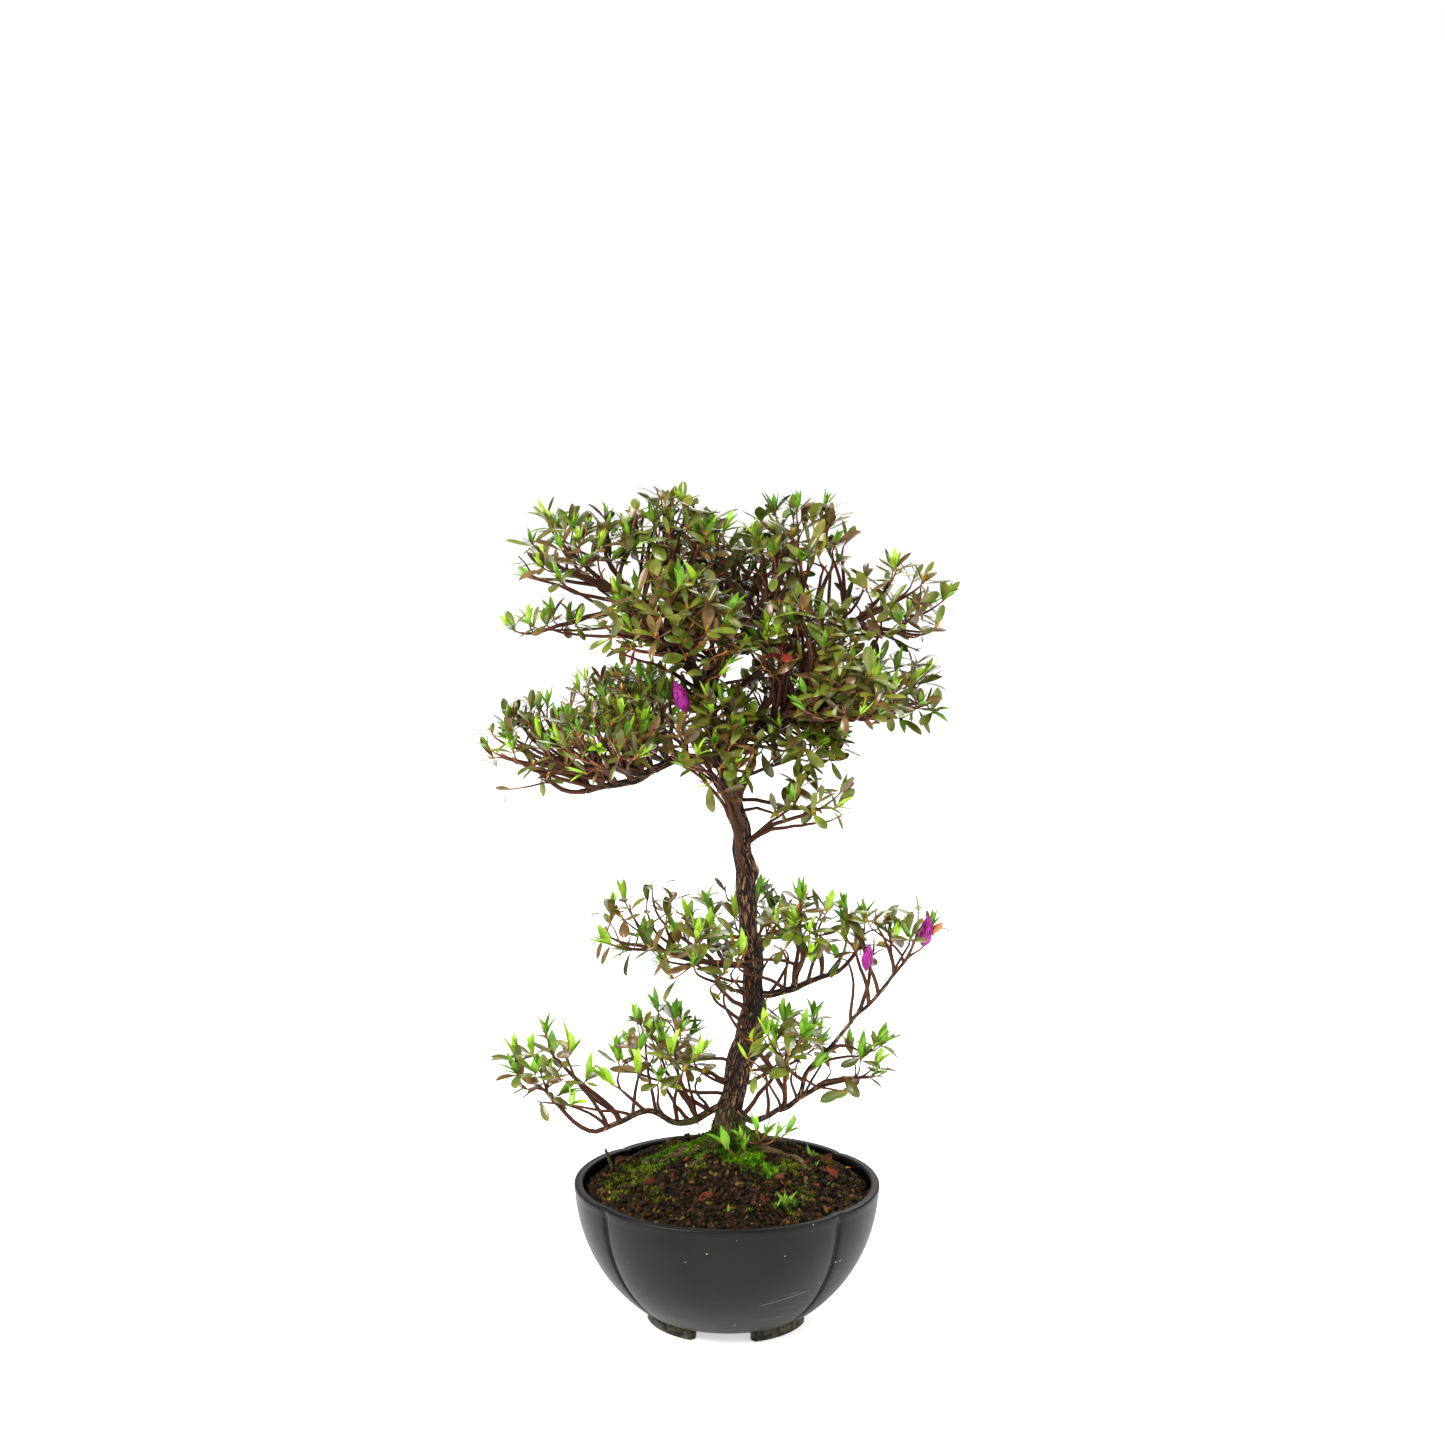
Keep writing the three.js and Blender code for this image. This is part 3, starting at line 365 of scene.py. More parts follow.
print(len(BOUGHS), "boughs,", len(MASSES), "masses,", len(BUDS), "buds")

# %% [markdown]
# ## Lines that limbs follow
#
# A limb is a smooth line through a few spots, thick at its root and thin at its tip. Blender has
# curves that could carry this, but the rule asks many small questions of a line, such as
# where it is at a third of its length, so the line is worked out with numbers here and only
# the finished limb becomes a mesh.


# %% Smooth lines through spots
def unit(vectors):
    vectors = np.asarray(vectors, float)
    return vectors / np.maximum(np.linalg.norm(vectors, axis=-1, keepdims=True), 1e-9)


class Line:
    """A smooth line through spots, asked for places by share of its length."""

    def __init__(self, spots, divisions=200):
        spots = np.asarray(spots, float)
        before = 2 * spots[0] - spots[1]
        after = 2 * spots[-1] - spots[-2]
        self.spots = np.vstack([before, spots, after])
        self.shares = np.linspace(0, 1, divisions + 1)
        steps = np.linalg.norm(np.diff(self.bend(self.shares), axis=0), axis=1)
        self.lengths = np.concatenate([[0], np.cumsum(steps)])

    def bend(self, shares):
        pieces = len(self.spots) - 3
        walk = np.clip(np.asarray(shares) * pieces, 0, pieces)
        first = np.minimum(walk.astype(int), pieces - 1)
        t = (walk - first)[:, None]
        p0, p1, p2, p3 = (self.spots[first + k] for k in range(4))
        d0, d1, d2 = (
            np.sqrt(np.linalg.norm(b - a, axis=1, keepdims=True))
            for a, b in ((p0, p1), (p1, p2), (p2, p3))
        )
        leave = d1 * ((p1 - p0) / d0 - (p2 - p0) / (d0 + d1) + (p2 - p1) / d1)
        arrive = d1 * ((p2 - p1) / d1 - (p3 - p1) / (d1 + d2) + (p3 - p2) / d2)
        square = -3 * p1 + 3 * p2 - 2 * leave - arrive
        cube = 2 * p1 - 2 * p2 + leave + arrive
        return p1 + t * (leave + t * (square + t * cube))

    def at(self, shares):
        shares = np.atleast_1d(shares)
        return self.bend(np.interp(shares * self.lengths[-1], self.lengths, self.shares))

    @property
    def length(self):
        return self.lengths[-1]


trunk_line = Line([(x, y, z) for z, x, y, _ in TRUNK])


def trunk_radius(z):
    return np.interp(z, [row[0] for row in TRUNK], [row[3] for row in TRUNK])


def on_trunk(z):
    shares = np.linspace(0, 1, 2001)
    return trunk_line.at(np.interp(z, trunk_line.at(shares)[:, 2], shares))[0]


limbs = {}
steps = np.linspace(0, 1, 49)
spots = trunk_line.at(steps)
limbs["trunk"] = {"line": trunk_line, "spots": spots, "radii": trunk_radius(spots[:, 2])}
RING_EVERY = 10
for name, on, at, by, tip, (root, end) in BOUGHS:
    start = on_trunk(at) if on == "trunk" else limbs[on]["line"].at(at)[0]
    line = Line([start, *by, tip])
    count = max(3, round(line.length / RING_EVERY))
    steps = np.linspace(0, 1, count + 1)
    limbs[name] = {"line": line, "spots": line.at(steps), "radii": root + (end - root) * steps}
print("limbs", len(limbs), "longest bough", max(round(limbs[b[0]]["line"].length) for b in BOUGHS))

# %% [markdown]
# ## The rule that grows twigs
#
# Each mass has a space: an ellipsoid cut flat where it would meet its neighbour. The dice spread
# the ends of its twigs through that space, and each end is joined to the nearest place on
# the tree that costs least in length and turning, as a shoot that has to be fed would be.
# Side twigs then leave the limbs straight away, as they do all along an old azalea's boughs,
# some of them to ends that are given because they show before the trunk and the fork; the
# finest twigs come last. A twig that would touch a limb or leave the space is not grown. A
# particle system could scatter twigs faster, but they would not hang together as one tree.

# %% Space for each mass, and what stands in the way
POT = {
    "half_width": 80, "half_depth": 71, "height": 75, "bowl": 83, "wall": 3, "lip": 4.4,
    "lip_height": 3, "floor": 3.5, "cove": 5, "base": 6, "groove": 50, "dip": 0.026, "turn": -3.3,
}
SOIL = {"edge": 66, "top": 89, "flat": 15, "lift": 0.62}
TIERS = ("mid", "low")
TWIG = {
    "tip": 0.5, "branch": 0.42, "stem": 1.6, "lift": 0.75, "rush": 2.5, "home": 0.4,
    "bend": 0.5, "start": 0.34, "step": 18, "room": 1.5, "places": 80, "seat": 0.6, "tilt": 0.25,
}
SPREAD = {
    "tries": 3000, "relax": 0.998, "fill": 4.2, "low": -0.75, "deep": 0.45, "keep": 3,
    "inset": 13,
}
FINE = {
    "room": 7200, "inset": 8.5, "low": -0.35, "deep": 0.66, "keep": 2, "step": 4.5,
    "level": 0.6, "gap": 0.3, "foot_count": 2,
}
SPUR = {
    "room": 6600, "inset": 6, "low": -0.45, "deep": 0.4, "keep": 2,
    "first": 0.12, "last": 0.97, "gap": 4, "above_soil": 14, "look_ahead": 0.02,
    "along": 0.35, "aim": 0.55, "lift": 0.35, "twist": 0.3, "twist_seed": 5,
    "length": 0.5, "turn": 1.3, "level": 1.1, "level_in_tiers": 0.4,
    "crowd": 7, "crowd_reach": 6, "trunk_gain": 34, "least": 14, "reach": 74, "places": 30,
    "pad_low": -0.05, "more": 2.3, "more_left": 1.7, "swell": 0.013,
}
SPUR_INNER = {
    "crown_front", "crown_middle", "centre_front", "left_pad_inner", "left_pad_front",
    "right_pad_inner", "right_pad_front",
}  # masses whose middle has to be full
SPUR_FROM_TRUNK = {
    "crown_middle", "right_pad_back", "crown_back", "centre_front", "crown_front",
    "crown_top_right", "right_pad_front",
}  # masses whose side twigs rather leave the trunk
OVER = 5
MARGIN = 0.25

mounds = np.array([TRUNK[0][1], TRUNK[0][2]])
THIN = {
    "low": 0.34, "mid": 0.46, "mid_right": 0.7, "mid_upright": 0.7, "crown_right": 0.44,
    "crown_left": 0.5, "crown_top_left": 0.58, "crown_top_right": 0.75, "right_pad_low": 0.5,
    "right_pad_outer": 0.7, "bud_spray": 0.8,
}  # how densely fine twigs fill a mass; 1 where nothing is said
SHOWN_ENDS = {
    "centre_front": [
        (2, -32, 336), (8, -26, 334), (-6, -28, 338), (4, -18, 332), (-14, -22, 334),
        (12, -34, 330), (-2, -26, 288), (-9, -28, 292), (7, -24, 293),
    ],
    "crown_front": [
        (-2, -34, 358), (-10, -38, 353), (2, -28, 361), (-6, -22, 356), (4, -36, 360),
        (0, -38, 354), (7, -36, 361), (3, -30, 356), (-3, -40, 350), (-18, -34, 350),
        (-30, -30, 350),
    ],
    "crown_middle": [(13, -26, 360), (18, -30, 353), (14, -16, 362), (22, -36, 350)],
    "crown_back": [(2, 42, 357), (-9, 40, 358), (12, 36, 358)],
    "right_pad_back": [(16, 42, 338), (20, 34, 343), (12, 46, 335), (11, 40, 330)],
    "left_pad_front": [(-72, -44, 322), (-64, -50, 306), (-52, -48, 330)],
    "left_pad_outer": [(-100, -14, 322), (-84, -20, 326)],
    "left_pad_inner": [(-44, -14, 336)],
    "mid_left_front": [
        (2, -28, 212), (0, -32, 196), (1, -20, 203), (-4, -22, 188), (7, -28, 206),
        (6, -24, 198), (8, -26, 203), (4, -30, 214), (5, -26, 191),
    ],
    "mid_upright": [(24, -18, 206), (48, -8, 222), (36, -14, 226), (26, -14, 218)],
    "mid_right": [(74, -8, 217), (59, -6, 221)],
    "low_right": [(12, -28, 150), (13, -30, 160), (14, -24, 141), (34, -34, 148), (20, -32, 164)],
    "low_right_outer": [(78, -8, 153), (62, -8, 125)],
    "low_left_inner": [(-14, -16, 148), (-12, -8, 138)],
}  # leafy ends that show before the trunk, the fork and the sky


def share_of(table, name):
    """A mass's share: that of the longest entry that its name begins with."""
    fits = [key for key in table if name.startswith(key)]
    return table[max(fits, key=len)] if fits else 1.0


limb_names = list(limbs)
limb_from = np.vstack([limb["spots"][:-1] for limb in limbs.values()])
limb_to = np.vstack([limb["spots"][1:] for limb in limbs.values()])
limb_thick = np.concatenate(
    [np.maximum(limb["radii"][:-1], limb["radii"][1:]) * KNOB for limb in limbs.values()]
)
limb_owner = np.concatenate(
    [np.full(len(limb["spots"]) - 1, k) for k, limb in enumerate(limbs.values())]
)


def dice(seed):
    """The same seeded numbers from 0 to 1 that the solids were grown with."""
    state = (seed * 2654435761) % 2**32

    def roll():
        nonlocal state
        state = (state * 1664525 + 1013904223) % 2**32
        return (state >> 8) / 16777216

    return roll


def mound_height(share):
    return SOIL["edge"] + (SOIL["top"] - SOIL["edge"]) * (1 - share ** (1 / SOIL["lift"]))


def soil_height(spots):
    away = np.linalg.norm(np.asarray(spots)[..., :2] - mounds, axis=-1)
    share = np.maximum(0, away - SOIL["flat"]) / (POT["half_depth"] - SOIL["flat"])
    return mound_height(np.minimum(1, share))


def dot(a, b):
    return (a * b).sum(-1)


def apart(a, b, c, d):
    """Shortest distances between straight pieces a to b and c to d."""
    u, v, w = b - a, d - c, a - c
    uu = np.maximum(dot(u, u), 1e-9)
    vv = np.maximum(dot(v, v), 1e-9)
    uv = dot(u, v)
    bottom = np.maximum(uu * vv - uv * uv, 1e-9)
    s = np.clip((uv * dot(v, w) - vv * dot(u, w)) / bottom, 0, 1)
    t = np.clip((uv * s + dot(v, w)) / vv, 0, 1)
    s = np.clip((uv * t - dot(u, w)) / uu, 0, 1)
    return np.linalg.norm(a + u * s[..., None] - c - v * t[..., None], axis=-1)


def touches(starts, stops, radius, skipped=None):
    """Which straight pieces come too near a limb other than the skipped one."""
    kept = limb_owner != (limb_names.index(skipped) if skipped else -1)
    gaps = apart(starts[:, None], stops[:, None], limb_from[None, kept], limb_to[None, kept])
    return (gaps < limb_thick[kept] + radius + CLEAR).any(1)


def make_mass(name, on, at, half, tips):
    mass = {"name": name, "at": np.array(at, float), "half": np.array(half, float)}
    mass["on"] = "trunk" if isinstance(on, int) else on
    mass["height"] = on if isinstance(on, int) else None
    mass["tips"] = tips
    mass["young"] = name == "foot_shoots"
    mass["thin"] = share_of(THIN, name)
    return mass


masses = [make_mass(*row) for row in MASSES]
for mass in masses:
    walls = []
    for other in masses:
        if other is mass:
            continue
        normal = other["at"] - mass["at"]
        distance = np.linalg.norm(normal)
        normal = normal / distance
        mine = np.linalg.norm(mass["half"] * normal)
        theirs = np.linalg.norm(other["half"] * normal)
        if distance <= mine + theirs + 2 * OVER:
            walls.append((*normal, normal @ mass["at"] + distance * mine / (mine + theirs)))
    mass["walls"] = np.array(walls).reshape(-1, 4)


def in_space(spots, mass, margin, over=0.0):
    spots = np.atleast_2d(spots)
    inside = np.linalg.norm((spots - mass["at"]) / (mass["half"] + over), axis=1) <= 1
    inside &= spots[:, 2] >= soil_height(spots) + CLEAR
    walls = mass["walls"]
    return inside & (spots @ walls[:, :3].T < walls[:, 3] - margin).all(1)


print("walls", sum(len(mass["walls"]) for mass in masses))


# %% Ends, and the twigs that reach them
def spread_ends(mass, roll, known, extra, rule, lowest=-1):
    """New ends beside the known ones, spaced evenly, most of them near the skin."""
    ends, wanted = list(known), len(known) + extra
    volume = SPREAD["fill"] * mass["half"].prod()
    spacing = np.cbrt(volume / max(wanted, 1))
    low, deep, keep = max(lowest, rule["low"]), rule["deep"], rule["keep"]
    reach = np.maximum(mass["half"] - rule["inset"], keep)
    for _ in range(SPREAD["tries"]):
        if len(ends) >= wanted:
            break
        height = roll() * (1 - low) + low
        turn = roll() * 2 * math.pi
        depth = deep + (1 - deep) * math.sqrt(roll())
        flat = math.sqrt(1 - height * height)
        out = np.array([flat * math.cos(turn), flat * math.sin(turn), height])
        spot = mass["at"] + out * depth * reach
        spacing *= SPREAD["relax"]
        if not in_space(spot, mass, keep)[0] or touches(spot[None], spot[None], keep)[0]:
            continue
        if any(np.linalg.norm(end["at"] - spot) < spacing for end in ends):
            continue
        ends.append({"at": spot})
    return ends[len(known) :]


def arc(start, start_way, end, end_way, shares):
    pull = np.linalg.norm(end - start) * TWIG["start"]
    s = np.asarray(shares)[:, None]
    near, far = start + start_way * pull, end - end_way * pull
    first, last = (1 - s) ** 3 * start + 3 * (1 - s) ** 2 * s * near, s**3 * end
    return first + 3 * (1 - s) * s**2 * far + last


def places(twigs, coarse):
    """Where on the tree a new twig can start: spots, ways, paths, twig and index."""
    rows = []
    for number, twig in enumerate(twigs):
        stride = twig["stride"] if coarse else 1
        for i in range(stride, len(twig["spots"]) - 1, stride):
            way = unit(twig["spots"][i + stride] - twig["spots"][i - stride])
            rows.append((*twig["spots"][i], *way, twig["paths"][i], number, i))
    return np.array(rows).reshape(-1, 9)


def make_twig(spots, path, end, mass, **more):
    """A twig as the rule knows it: its spots, and how far each is from the tree."""
    walked = np.cumsum(np.linalg.norm(np.diff(spots, axis=0), axis=1))
    twig = {"spots": spots, "paths": path + np.concatenate([[0], walked]), "end": end}
    twig.update(mass=mass, loads=np.ones(len(spots)), stride=1, parent=None, index=0)
    return {**twig, **more}


def join(end, mass, twigs, start, way, coarse):
    """The twig to an end from the cheapest place that keeps clear, in a list, or none."""
    step = TWIG["step"] if coarse else FINE["step"]
    room = TWIG["room"] if coarse else TWIG["tip"] + FINE["gap"]
    rows = places(twigs, coarse) if twigs else np.array([[*start, *way, 0, -1, 0]])
    legs = end["at"] - rows[:, :3]
    lengths = np.linalg.norm(legs, axis=1)
    turning = 1 - dot(unit(legs), rows[:, 3:6])
    costs = lengths * (1 + TWIG["bend"] * turning) + TWIG["home"] * rows[:, 6]
    if not coarse:
        costs += FINE["level"] * lengths * (1 - unit(legs)[:, 2])
    carrier = "trunk" if mass["height"] else None
    for k in np.argsort(costs, kind="stable")[: TWIG["places"]]:
        count = max(2, round(lengths[k] / step))
        foot, foot_way = rows[k, :3], rows[k, 3:6]
        spots = arc(foot, foot_way, end["at"], end["way"], np.linspace(0, 1, count + 1))
        own = carrier if twigs else mass["on"]
        blocked = touches(spots[:1], spots[1:2], room, own)[0]
        blocked = blocked or touches(spots[1:-1], spots[2:], room, carrier).any()
        if blocked or (twigs and not in_space(spots[1:], mass, MARGIN + room).all()):
            continue
        stride = max(1, math.ceil(step / FINE["step"]))
        shares = np.linspace(0, 1, count * stride + 1)
        spots = arc(foot, foot_way, end["at"], end["way"], shares)
        parent = twigs[int(rows[k, 7])] if twigs else None
        more = {"stride": stride, "parent": parent, "index": int(rows[k, 8])}
        return [make_twig(spots, rows[k, 6], end, mass, **more)]
    return []


def spur_roots():
    """Places along the limbs where a side twig can start."""
    rows = []
    for number, limb in enumerate(limbs.values()):
        count = max(3, round(limb["line"].length / SPUR["gap"]))
        steps = np.linspace(SPUR["first"], SPUR["last"], count)
        spots = limb["line"].at(steps)
        ways = unit(limb["line"].at(steps + SPUR["look_ahead"]) - spots)
        rows.append(np.column_stack([spots, ways, np.full(len(spots), number)]))
    rows = np.vstack(rows)
    return rows[rows[:, 2] > SOIL["top"] + SPUR["above_soil"]]


roots = spur_roots()
crowd = np.zeros(len(roots))
root_twists = np.random.default_rng(SPUR["twist_seed"]).normal(0, SPUR["twist"], (len(roots), 3))


def side_twig(end, mass):
    """The twig to an end straight from the nearest limb, in a list, or none."""
    legs = end["at"] - roots[:, :3]
    lengths = np.linalg.norm(legs, axis=1)
    ways = roots[:, 3:6] * SPUR["along"] + unit(legs) * SPUR["aim"]
    ways = unit(ways + (0, 0, SPUR["lift"]) + root_twists)
    turning = 1 - dot(unit(legs), ways)
    level = SPUR["level_in_tiers"] if mass["name"].startswith(TIERS) else SPUR["level"]
    sideways = 1 - unit(legs)[:, 2]
    costs = lengths * (SPUR["length"] + SPUR["turn"] * turning + level * sideways)
    costs += SPUR["crowd"] * crowd
    if mass["name"] in SPUR_FROM_TRUNK:
        costs -= SPUR["trunk_gain"] * (roots[:, 6] == 0)
    costs[(lengths < SPUR["least"]) | (lengths > SPUR["reach"])] = np.inf
    for k in np.argsort(costs)[: SPUR["places"]]:
        if not np.isfinite(costs[k]):
            break
        count = max(3, round(lengths[k] / FINE["step"]))
        spots = arc(roots[k, :3], ways[k], end["at"], end["way"], np.linspace(0, 1, count + 1))
        own = limb_names[int(roots[k, 6])]
        blocked = touches(spots[1:-1], spots[2:], TWIG["tip"], own).any()
        free = count - 1 if "leafy" in end else count // 2
        if blocked or not in_space(spots[free:], mass, MARGIN).all():
            continue
        nearness = np.linalg.norm(roots[:, :3] - roots[k, :3], axis=1)
        crowd[nearness < SPUR["crowd_reach"]] += 1
        return [make_twig(spots, 0, end, mass, spur=True)]
    return []


def stem_foot(mass):
    """Where a mass's stem starts, at its bough's tip or inside the trunk, and its way."""
    if mass["height"] is None:
        start = limbs[mass["on"]]["spots"][-1]
        return start, unit(start - limbs[mass["on"]]["spots"][-2])
    start = on_trunk(mass["height"])
    way = unit((mass["at"] - start) * (1, 1, 0))
    start = start + way * trunk_radius(start[2]) * TWIG["seat"]
    return start, unit(way + (0, 0, TWIG["tilt"]))


def side_count(mass, volume):
    """How many side twigs a mass has; those whose middle has to be full have more."""
    count = 0 if mass["young"] else round(volume / SPUR["room"])
    if mass["name"] not in SPUR_INNER:
        return count
    return round(count * SPUR["more_left" if mass["name"].startswith("left") else "more"])


def grow(mass, number):
    """All twigs of a mass: the solids' own, side twigs, then the finest."""
    again = len(MASSES) if mass["name"] in AGAIN else 0
    bud_ends = [
        {"at": np.array(foot, float), "bud": unit(lean)}
        for owner, foot, lean in BUDS
        if owner == mass["name"]
    ]
    roll = dice(SEED + number + again)
    ends = bud_ends + spread_ends(mass, roll, bud_ends, mass["tips"], SPREAD)
    shown = [{"at": np.array(at, float)} for at in SHOWN_ENDS.get(mass["name"], [])]
    for end in ends + shown:
        end["leafy"] = True
    volume = SPREAD["fill"] * mass["half"].prod() * mass["thin"]
    lowest = SPUR["pad_low"] if mass["name"].startswith("left_pad") else -1
    count = side_count(mass, volume)
    spurs = spread_ends(mass, dice(SIDE_SEED + number), ends, count, SPUR, lowest) + shown
    count = FINE["foot_count"] if mass["young"] else round(volume / FINE["room"])
    finer = spread_ends(mass, dice(FINE_SEED + number), ends + spurs, count, FINE, lowest)

    rise = np.array([0, 0, TWIG["rush"] if mass["young"] else TWIG["lift"]])
    for end in ends + spurs + finer:
        end["way"] = end.get("bud", unit(unit(end["at"] - mass["at"]) + rise))
    start, way = stem_foot(mass)

    def farthest_first(end):
        return -np.linalg.norm(end["at"] - start)

    twigs = []
    for end in sorted(ends, key=farthest_first):
        twigs += join(end, mass, twigs, start, way, coarse=True)
    for end in spurs:
        twigs += side_twig(end, mass)
    for end in sorted(finer, key=farthest_first):
        twigs += join(end, mass, twigs, start, way, coarse=False)
    for twig in reversed(twigs):
        if twig["parent"] is not None:
            twig["parent"]["loads"][: twig["index"] + 1] += twig["loads"][0]
    return twigs


twigs = [twig for number, mass in enumerate(masses) for twig in grow(mass, number)]
print(len(twigs), "twigs,", round(sum(t["paths"][-1] - t["paths"][0] for t in twigs)), "mm of them")

# %% [markdown]
# ## Geometry Nodes rules and plain meshes
#
# What repeats on the plant, its twigs, leaves, bark chips and moss, is made by small trees of
# Geometry Nodes. `Rule` writes such a tree with named inputs and `grown` runs it on a mesh,
# then keeps the result as a plain mesh, because the modifier and its instances would be
# lost on export. Python could copy the shapes as well, but a rule says it in a few nodes.


# %% Making meshes
def plain_object(name, spots, faces, edges=(), **marks):
    """An object from millimetres, with marks stored on its points."""
    mesh = bpy.data.meshes.new(name)
    mesh.from_pydata(metres(spots).tolist(), list(edges), list(faces))
    for mark, values in marks.items():
        values = np.asarray(values)
        kind = "FLOAT_VECTOR" if values.ndim == 2 else "FLOAT"
        if values.dtype.kind == "i":
            kind = "INT"
        field = "vector" if values.ndim == 2 else "value"
        mesh.attributes.new(mark, kind, "POINT").data.foreach_set(field, values.ravel())
    made = bpy.data.objects.new(name, mesh)
    scene.collection.objects.link(made)
    return made


def smooth(piece, finish):
    piece.data.shade_smooth()
    piece.data.materials.clear()
    piece.data.materials.append(finish.material)
    return piece


MARKS_USED_UP = ("way", "up", "size", "shape", "bright", "olive", "bare", "open", "ridge", "bark")


class Rule(Writer):
    """A Geometry Nodes tree with named inputs."""

    def __init__(self, name, **inputs):
        super().__init__(bpy.data.node_groups.new(name, "GeometryNodeTree"))
        interface = self.tree.interface
        for title, kind in {"Geometry": "Geometry", **inputs}.items():
            interface.new_socket(title, in_out="INPUT", socket_type=f"NodeSocket{kind}")
        interface.new_socket("Geometry", in_out="OUTPUT", socket_type="NodeSocketGeometry")
        self.start = self.tree.nodes.new("NodeGroupInput")

    def given(self, name):
        return Value(self, self.start.outputs[name])

    def mark(self, name, kind="FLOAT"):
        return self.node("GeometryNodeInputNamedAttribute", {"data_type": kind}, {"Name": name})

    def end(self, geometry):
        real = self.node("GeometryNodeRealizeInstances", None, {"Geometry": geometry})
        soft = self.node("GeometryNodeSetShadeSmooth", None, {"Geometry": real})
        sockets = {"Geometry": soft, "Material": self.given("Finish")}
        made = self.node("GeometryNodeSetMaterial", None, sockets)
        stop = self.tree.nodes.new("NodeGroupOutput")
        self.tree.links.new(made.socket, stop.inputs[0])


def grown(name, source, rule, finish, keep_source=False, **inputs):
    """Run a rule on a source object and keep what it makes as a plain mesh."""
    modifier = source.modifiers.new("rule", "NODES")
    modifier.node_group = rule.tree
    inputs["Finish"] = finish.material
    for item in rule.tree.interface.items_tree:
        if item.in_out == "INPUT" and item.name in inputs:
            modifier[item.identifier] = inputs[item.name]
    graph = bpy.context.evaluated_depsgraph_get()
    mesh = bpy.data.meshes.new_from_object(source.evaluated_get(graph))
    source.modifiers.remove(modifier)
    mesh.name = name
    for spare in [mark.name for mark in mesh.attributes if mark.name in MARKS_USED_UP]:
        mesh.attributes.remove(mesh.attributes[spare])
    if not keep_source:
        bpy.data.meshes.remove(source.data)
    made = bpy.data.objects.new(name, mesh)
    scene.collection.objects.link(made)
    return made


def triangles(piece):
    return sum(len(face.vertices) - 2 for face in piece.data.polygons)


def grain(spots, size, seed=0):
    """Smooth random relief from -1 to 1, in lumps of about one size."""
    spots = np.asarray(spots, float) / size
    corner = np.floor(spots).astype(np.int64)
    part = spots - corner
    part = part * part * (3 - 2 * part)
    total = 0.0
    for step in np.ndindex(2, 2, 2):
        x, y, z = np.moveaxis((corner + step) * (73856093, 19349663, 83492791), -1, 0)
        mixed = (x ^ y ^ z ^ (seed * 40503 + 977)) & 0xFFFFFFFF
        mixed = ((mixed ^ (mixed >> 13)) * 1274126177) & 0xFFFFFFFF
        mixed = ((mixed ^ (mixed >> 16)) & 0xFFFF) / 32767.5 - 1
        total = total + mixed * np.where(step, part, 1 - part).prod(-1)
    return total


def waves(draw, count, lengths, push):
    """Ways, starts and pushes of a few waves that run through space."""
    ways = unit(draw.normal(size=(count, 3))) * (2 * math.pi / draw.uniform(*lengths, (count, 1)))
    starts = draw.uniform(0, 2 * math.pi, count)
    return ways, starts, unit(draw.normal(size=(count, 3))) * push


STEADY = {"below": 92, "over": 20}
wave_dice = np.random.default_rng(3)
WAVES = [waves(wave_dice, 10, (16, 46), 0.42), waves(wave_dice, 8, (9, 17), 0.2)]


def wander(spots):
    """Small bends of living wood: the same at the same place, so joints stay joined."""
    spots = np.asarray(spots, float)
    free = np.clip((spots[..., 2:] - STEADY["below"]) / STEADY["over"], 0, 1)
    bends, kinks = (np.sin(spots @ ways.T + starts) @ pushes for ways, starts, pushes in WAVES)
    return spots + free * (bends + kinks)


print("relief sample", grain(np.arange(9).reshape(3, 3), 2.0).round(2))

# %% [markdown]
# ## Trunk, boughs and roots
#
# An old azalea's bark is thin, reddish dark brown and split into fine upright fissures; the trunk
# swells at knots and at the foot, where roots run out under the moss. Each limb is a tube
# of many rings, and the fissures, knots and collars are pushed into the rings themselves so
# that they show on the outline, with a finer bump from the material. Displacing a smooth
# tube with a texture would leave the outline of the trunk as clean as a pipe's.


# %% Tubes with relief
def frames(spots):
    """Two directions square to a line at each spot, turning as little as they can."""
    ways = unit(np.gradient(spots, axis=0))
    across = np.zeros_like(ways)
    side = np.array([1.0, 0, 0]) if abs(ways[0, 2]) > 0.9 else np.array([0, 0, 1.0])
    for i, way in enumerate(ways):
        side = unit(side - way * (side @ way))
        across[i] = side
    return across, np.cross(ways, across)


def tube(spots, radii, around, relief=None):
    """Closed tube: its points, its faces, and the place of each point along the bark."""
    across, beside = frames(spots)
    turns = np.linspace(0, 2 * math.pi, around, endpoint=False)
    out = across[:, None] * np.cos(turns)[:, None] + beside[:, None] * np.sin(turns)[:, None]
    walked = np.concatenate([[0], np.cumsum(np.linalg.norm(np.diff(spots, axis=0), axis=1))])
    rounds = np.cos(turns) * radii[:, None], np.sin(turns) * radii[:, None]
    bark = np.stack(np.broadcast_arrays(*rounds, walked[:, None]), axis=-1)
    reach = np.broadcast_to(radii[:, None], bark.shape[:2])
    if relief:
        reach = relief(spots[:, None] + out * reach[..., None], bark, reach, turns)
    rings = spots[:, None] + out * reach[..., None]
    count = len(spots)
    points = np.vstack([rings.reshape(-1, 3), spots[0], spots[-1]])
    marks = np.vstack([bark.reshape(-1, 3), bark[0].mean(0), bark[-1].mean(0)])
    low = (np.arange(count - 1)[:, None] * around + np.arange(around)).ravel()
    low_next = (np.arange(count - 1)[:, None] * around + (np.arange(around) + 1) % around).ravel()
    faces = np.stack([low, low_next, low_next + around, low + around], 1).tolist()
    last = (count - 1) * around
    for k in range(around):
        following = (k + 1) % around
        faces.append([following, k, count * around])
        faces.append([last + k, last + following, count * around + 1])
    return points, faces, marks


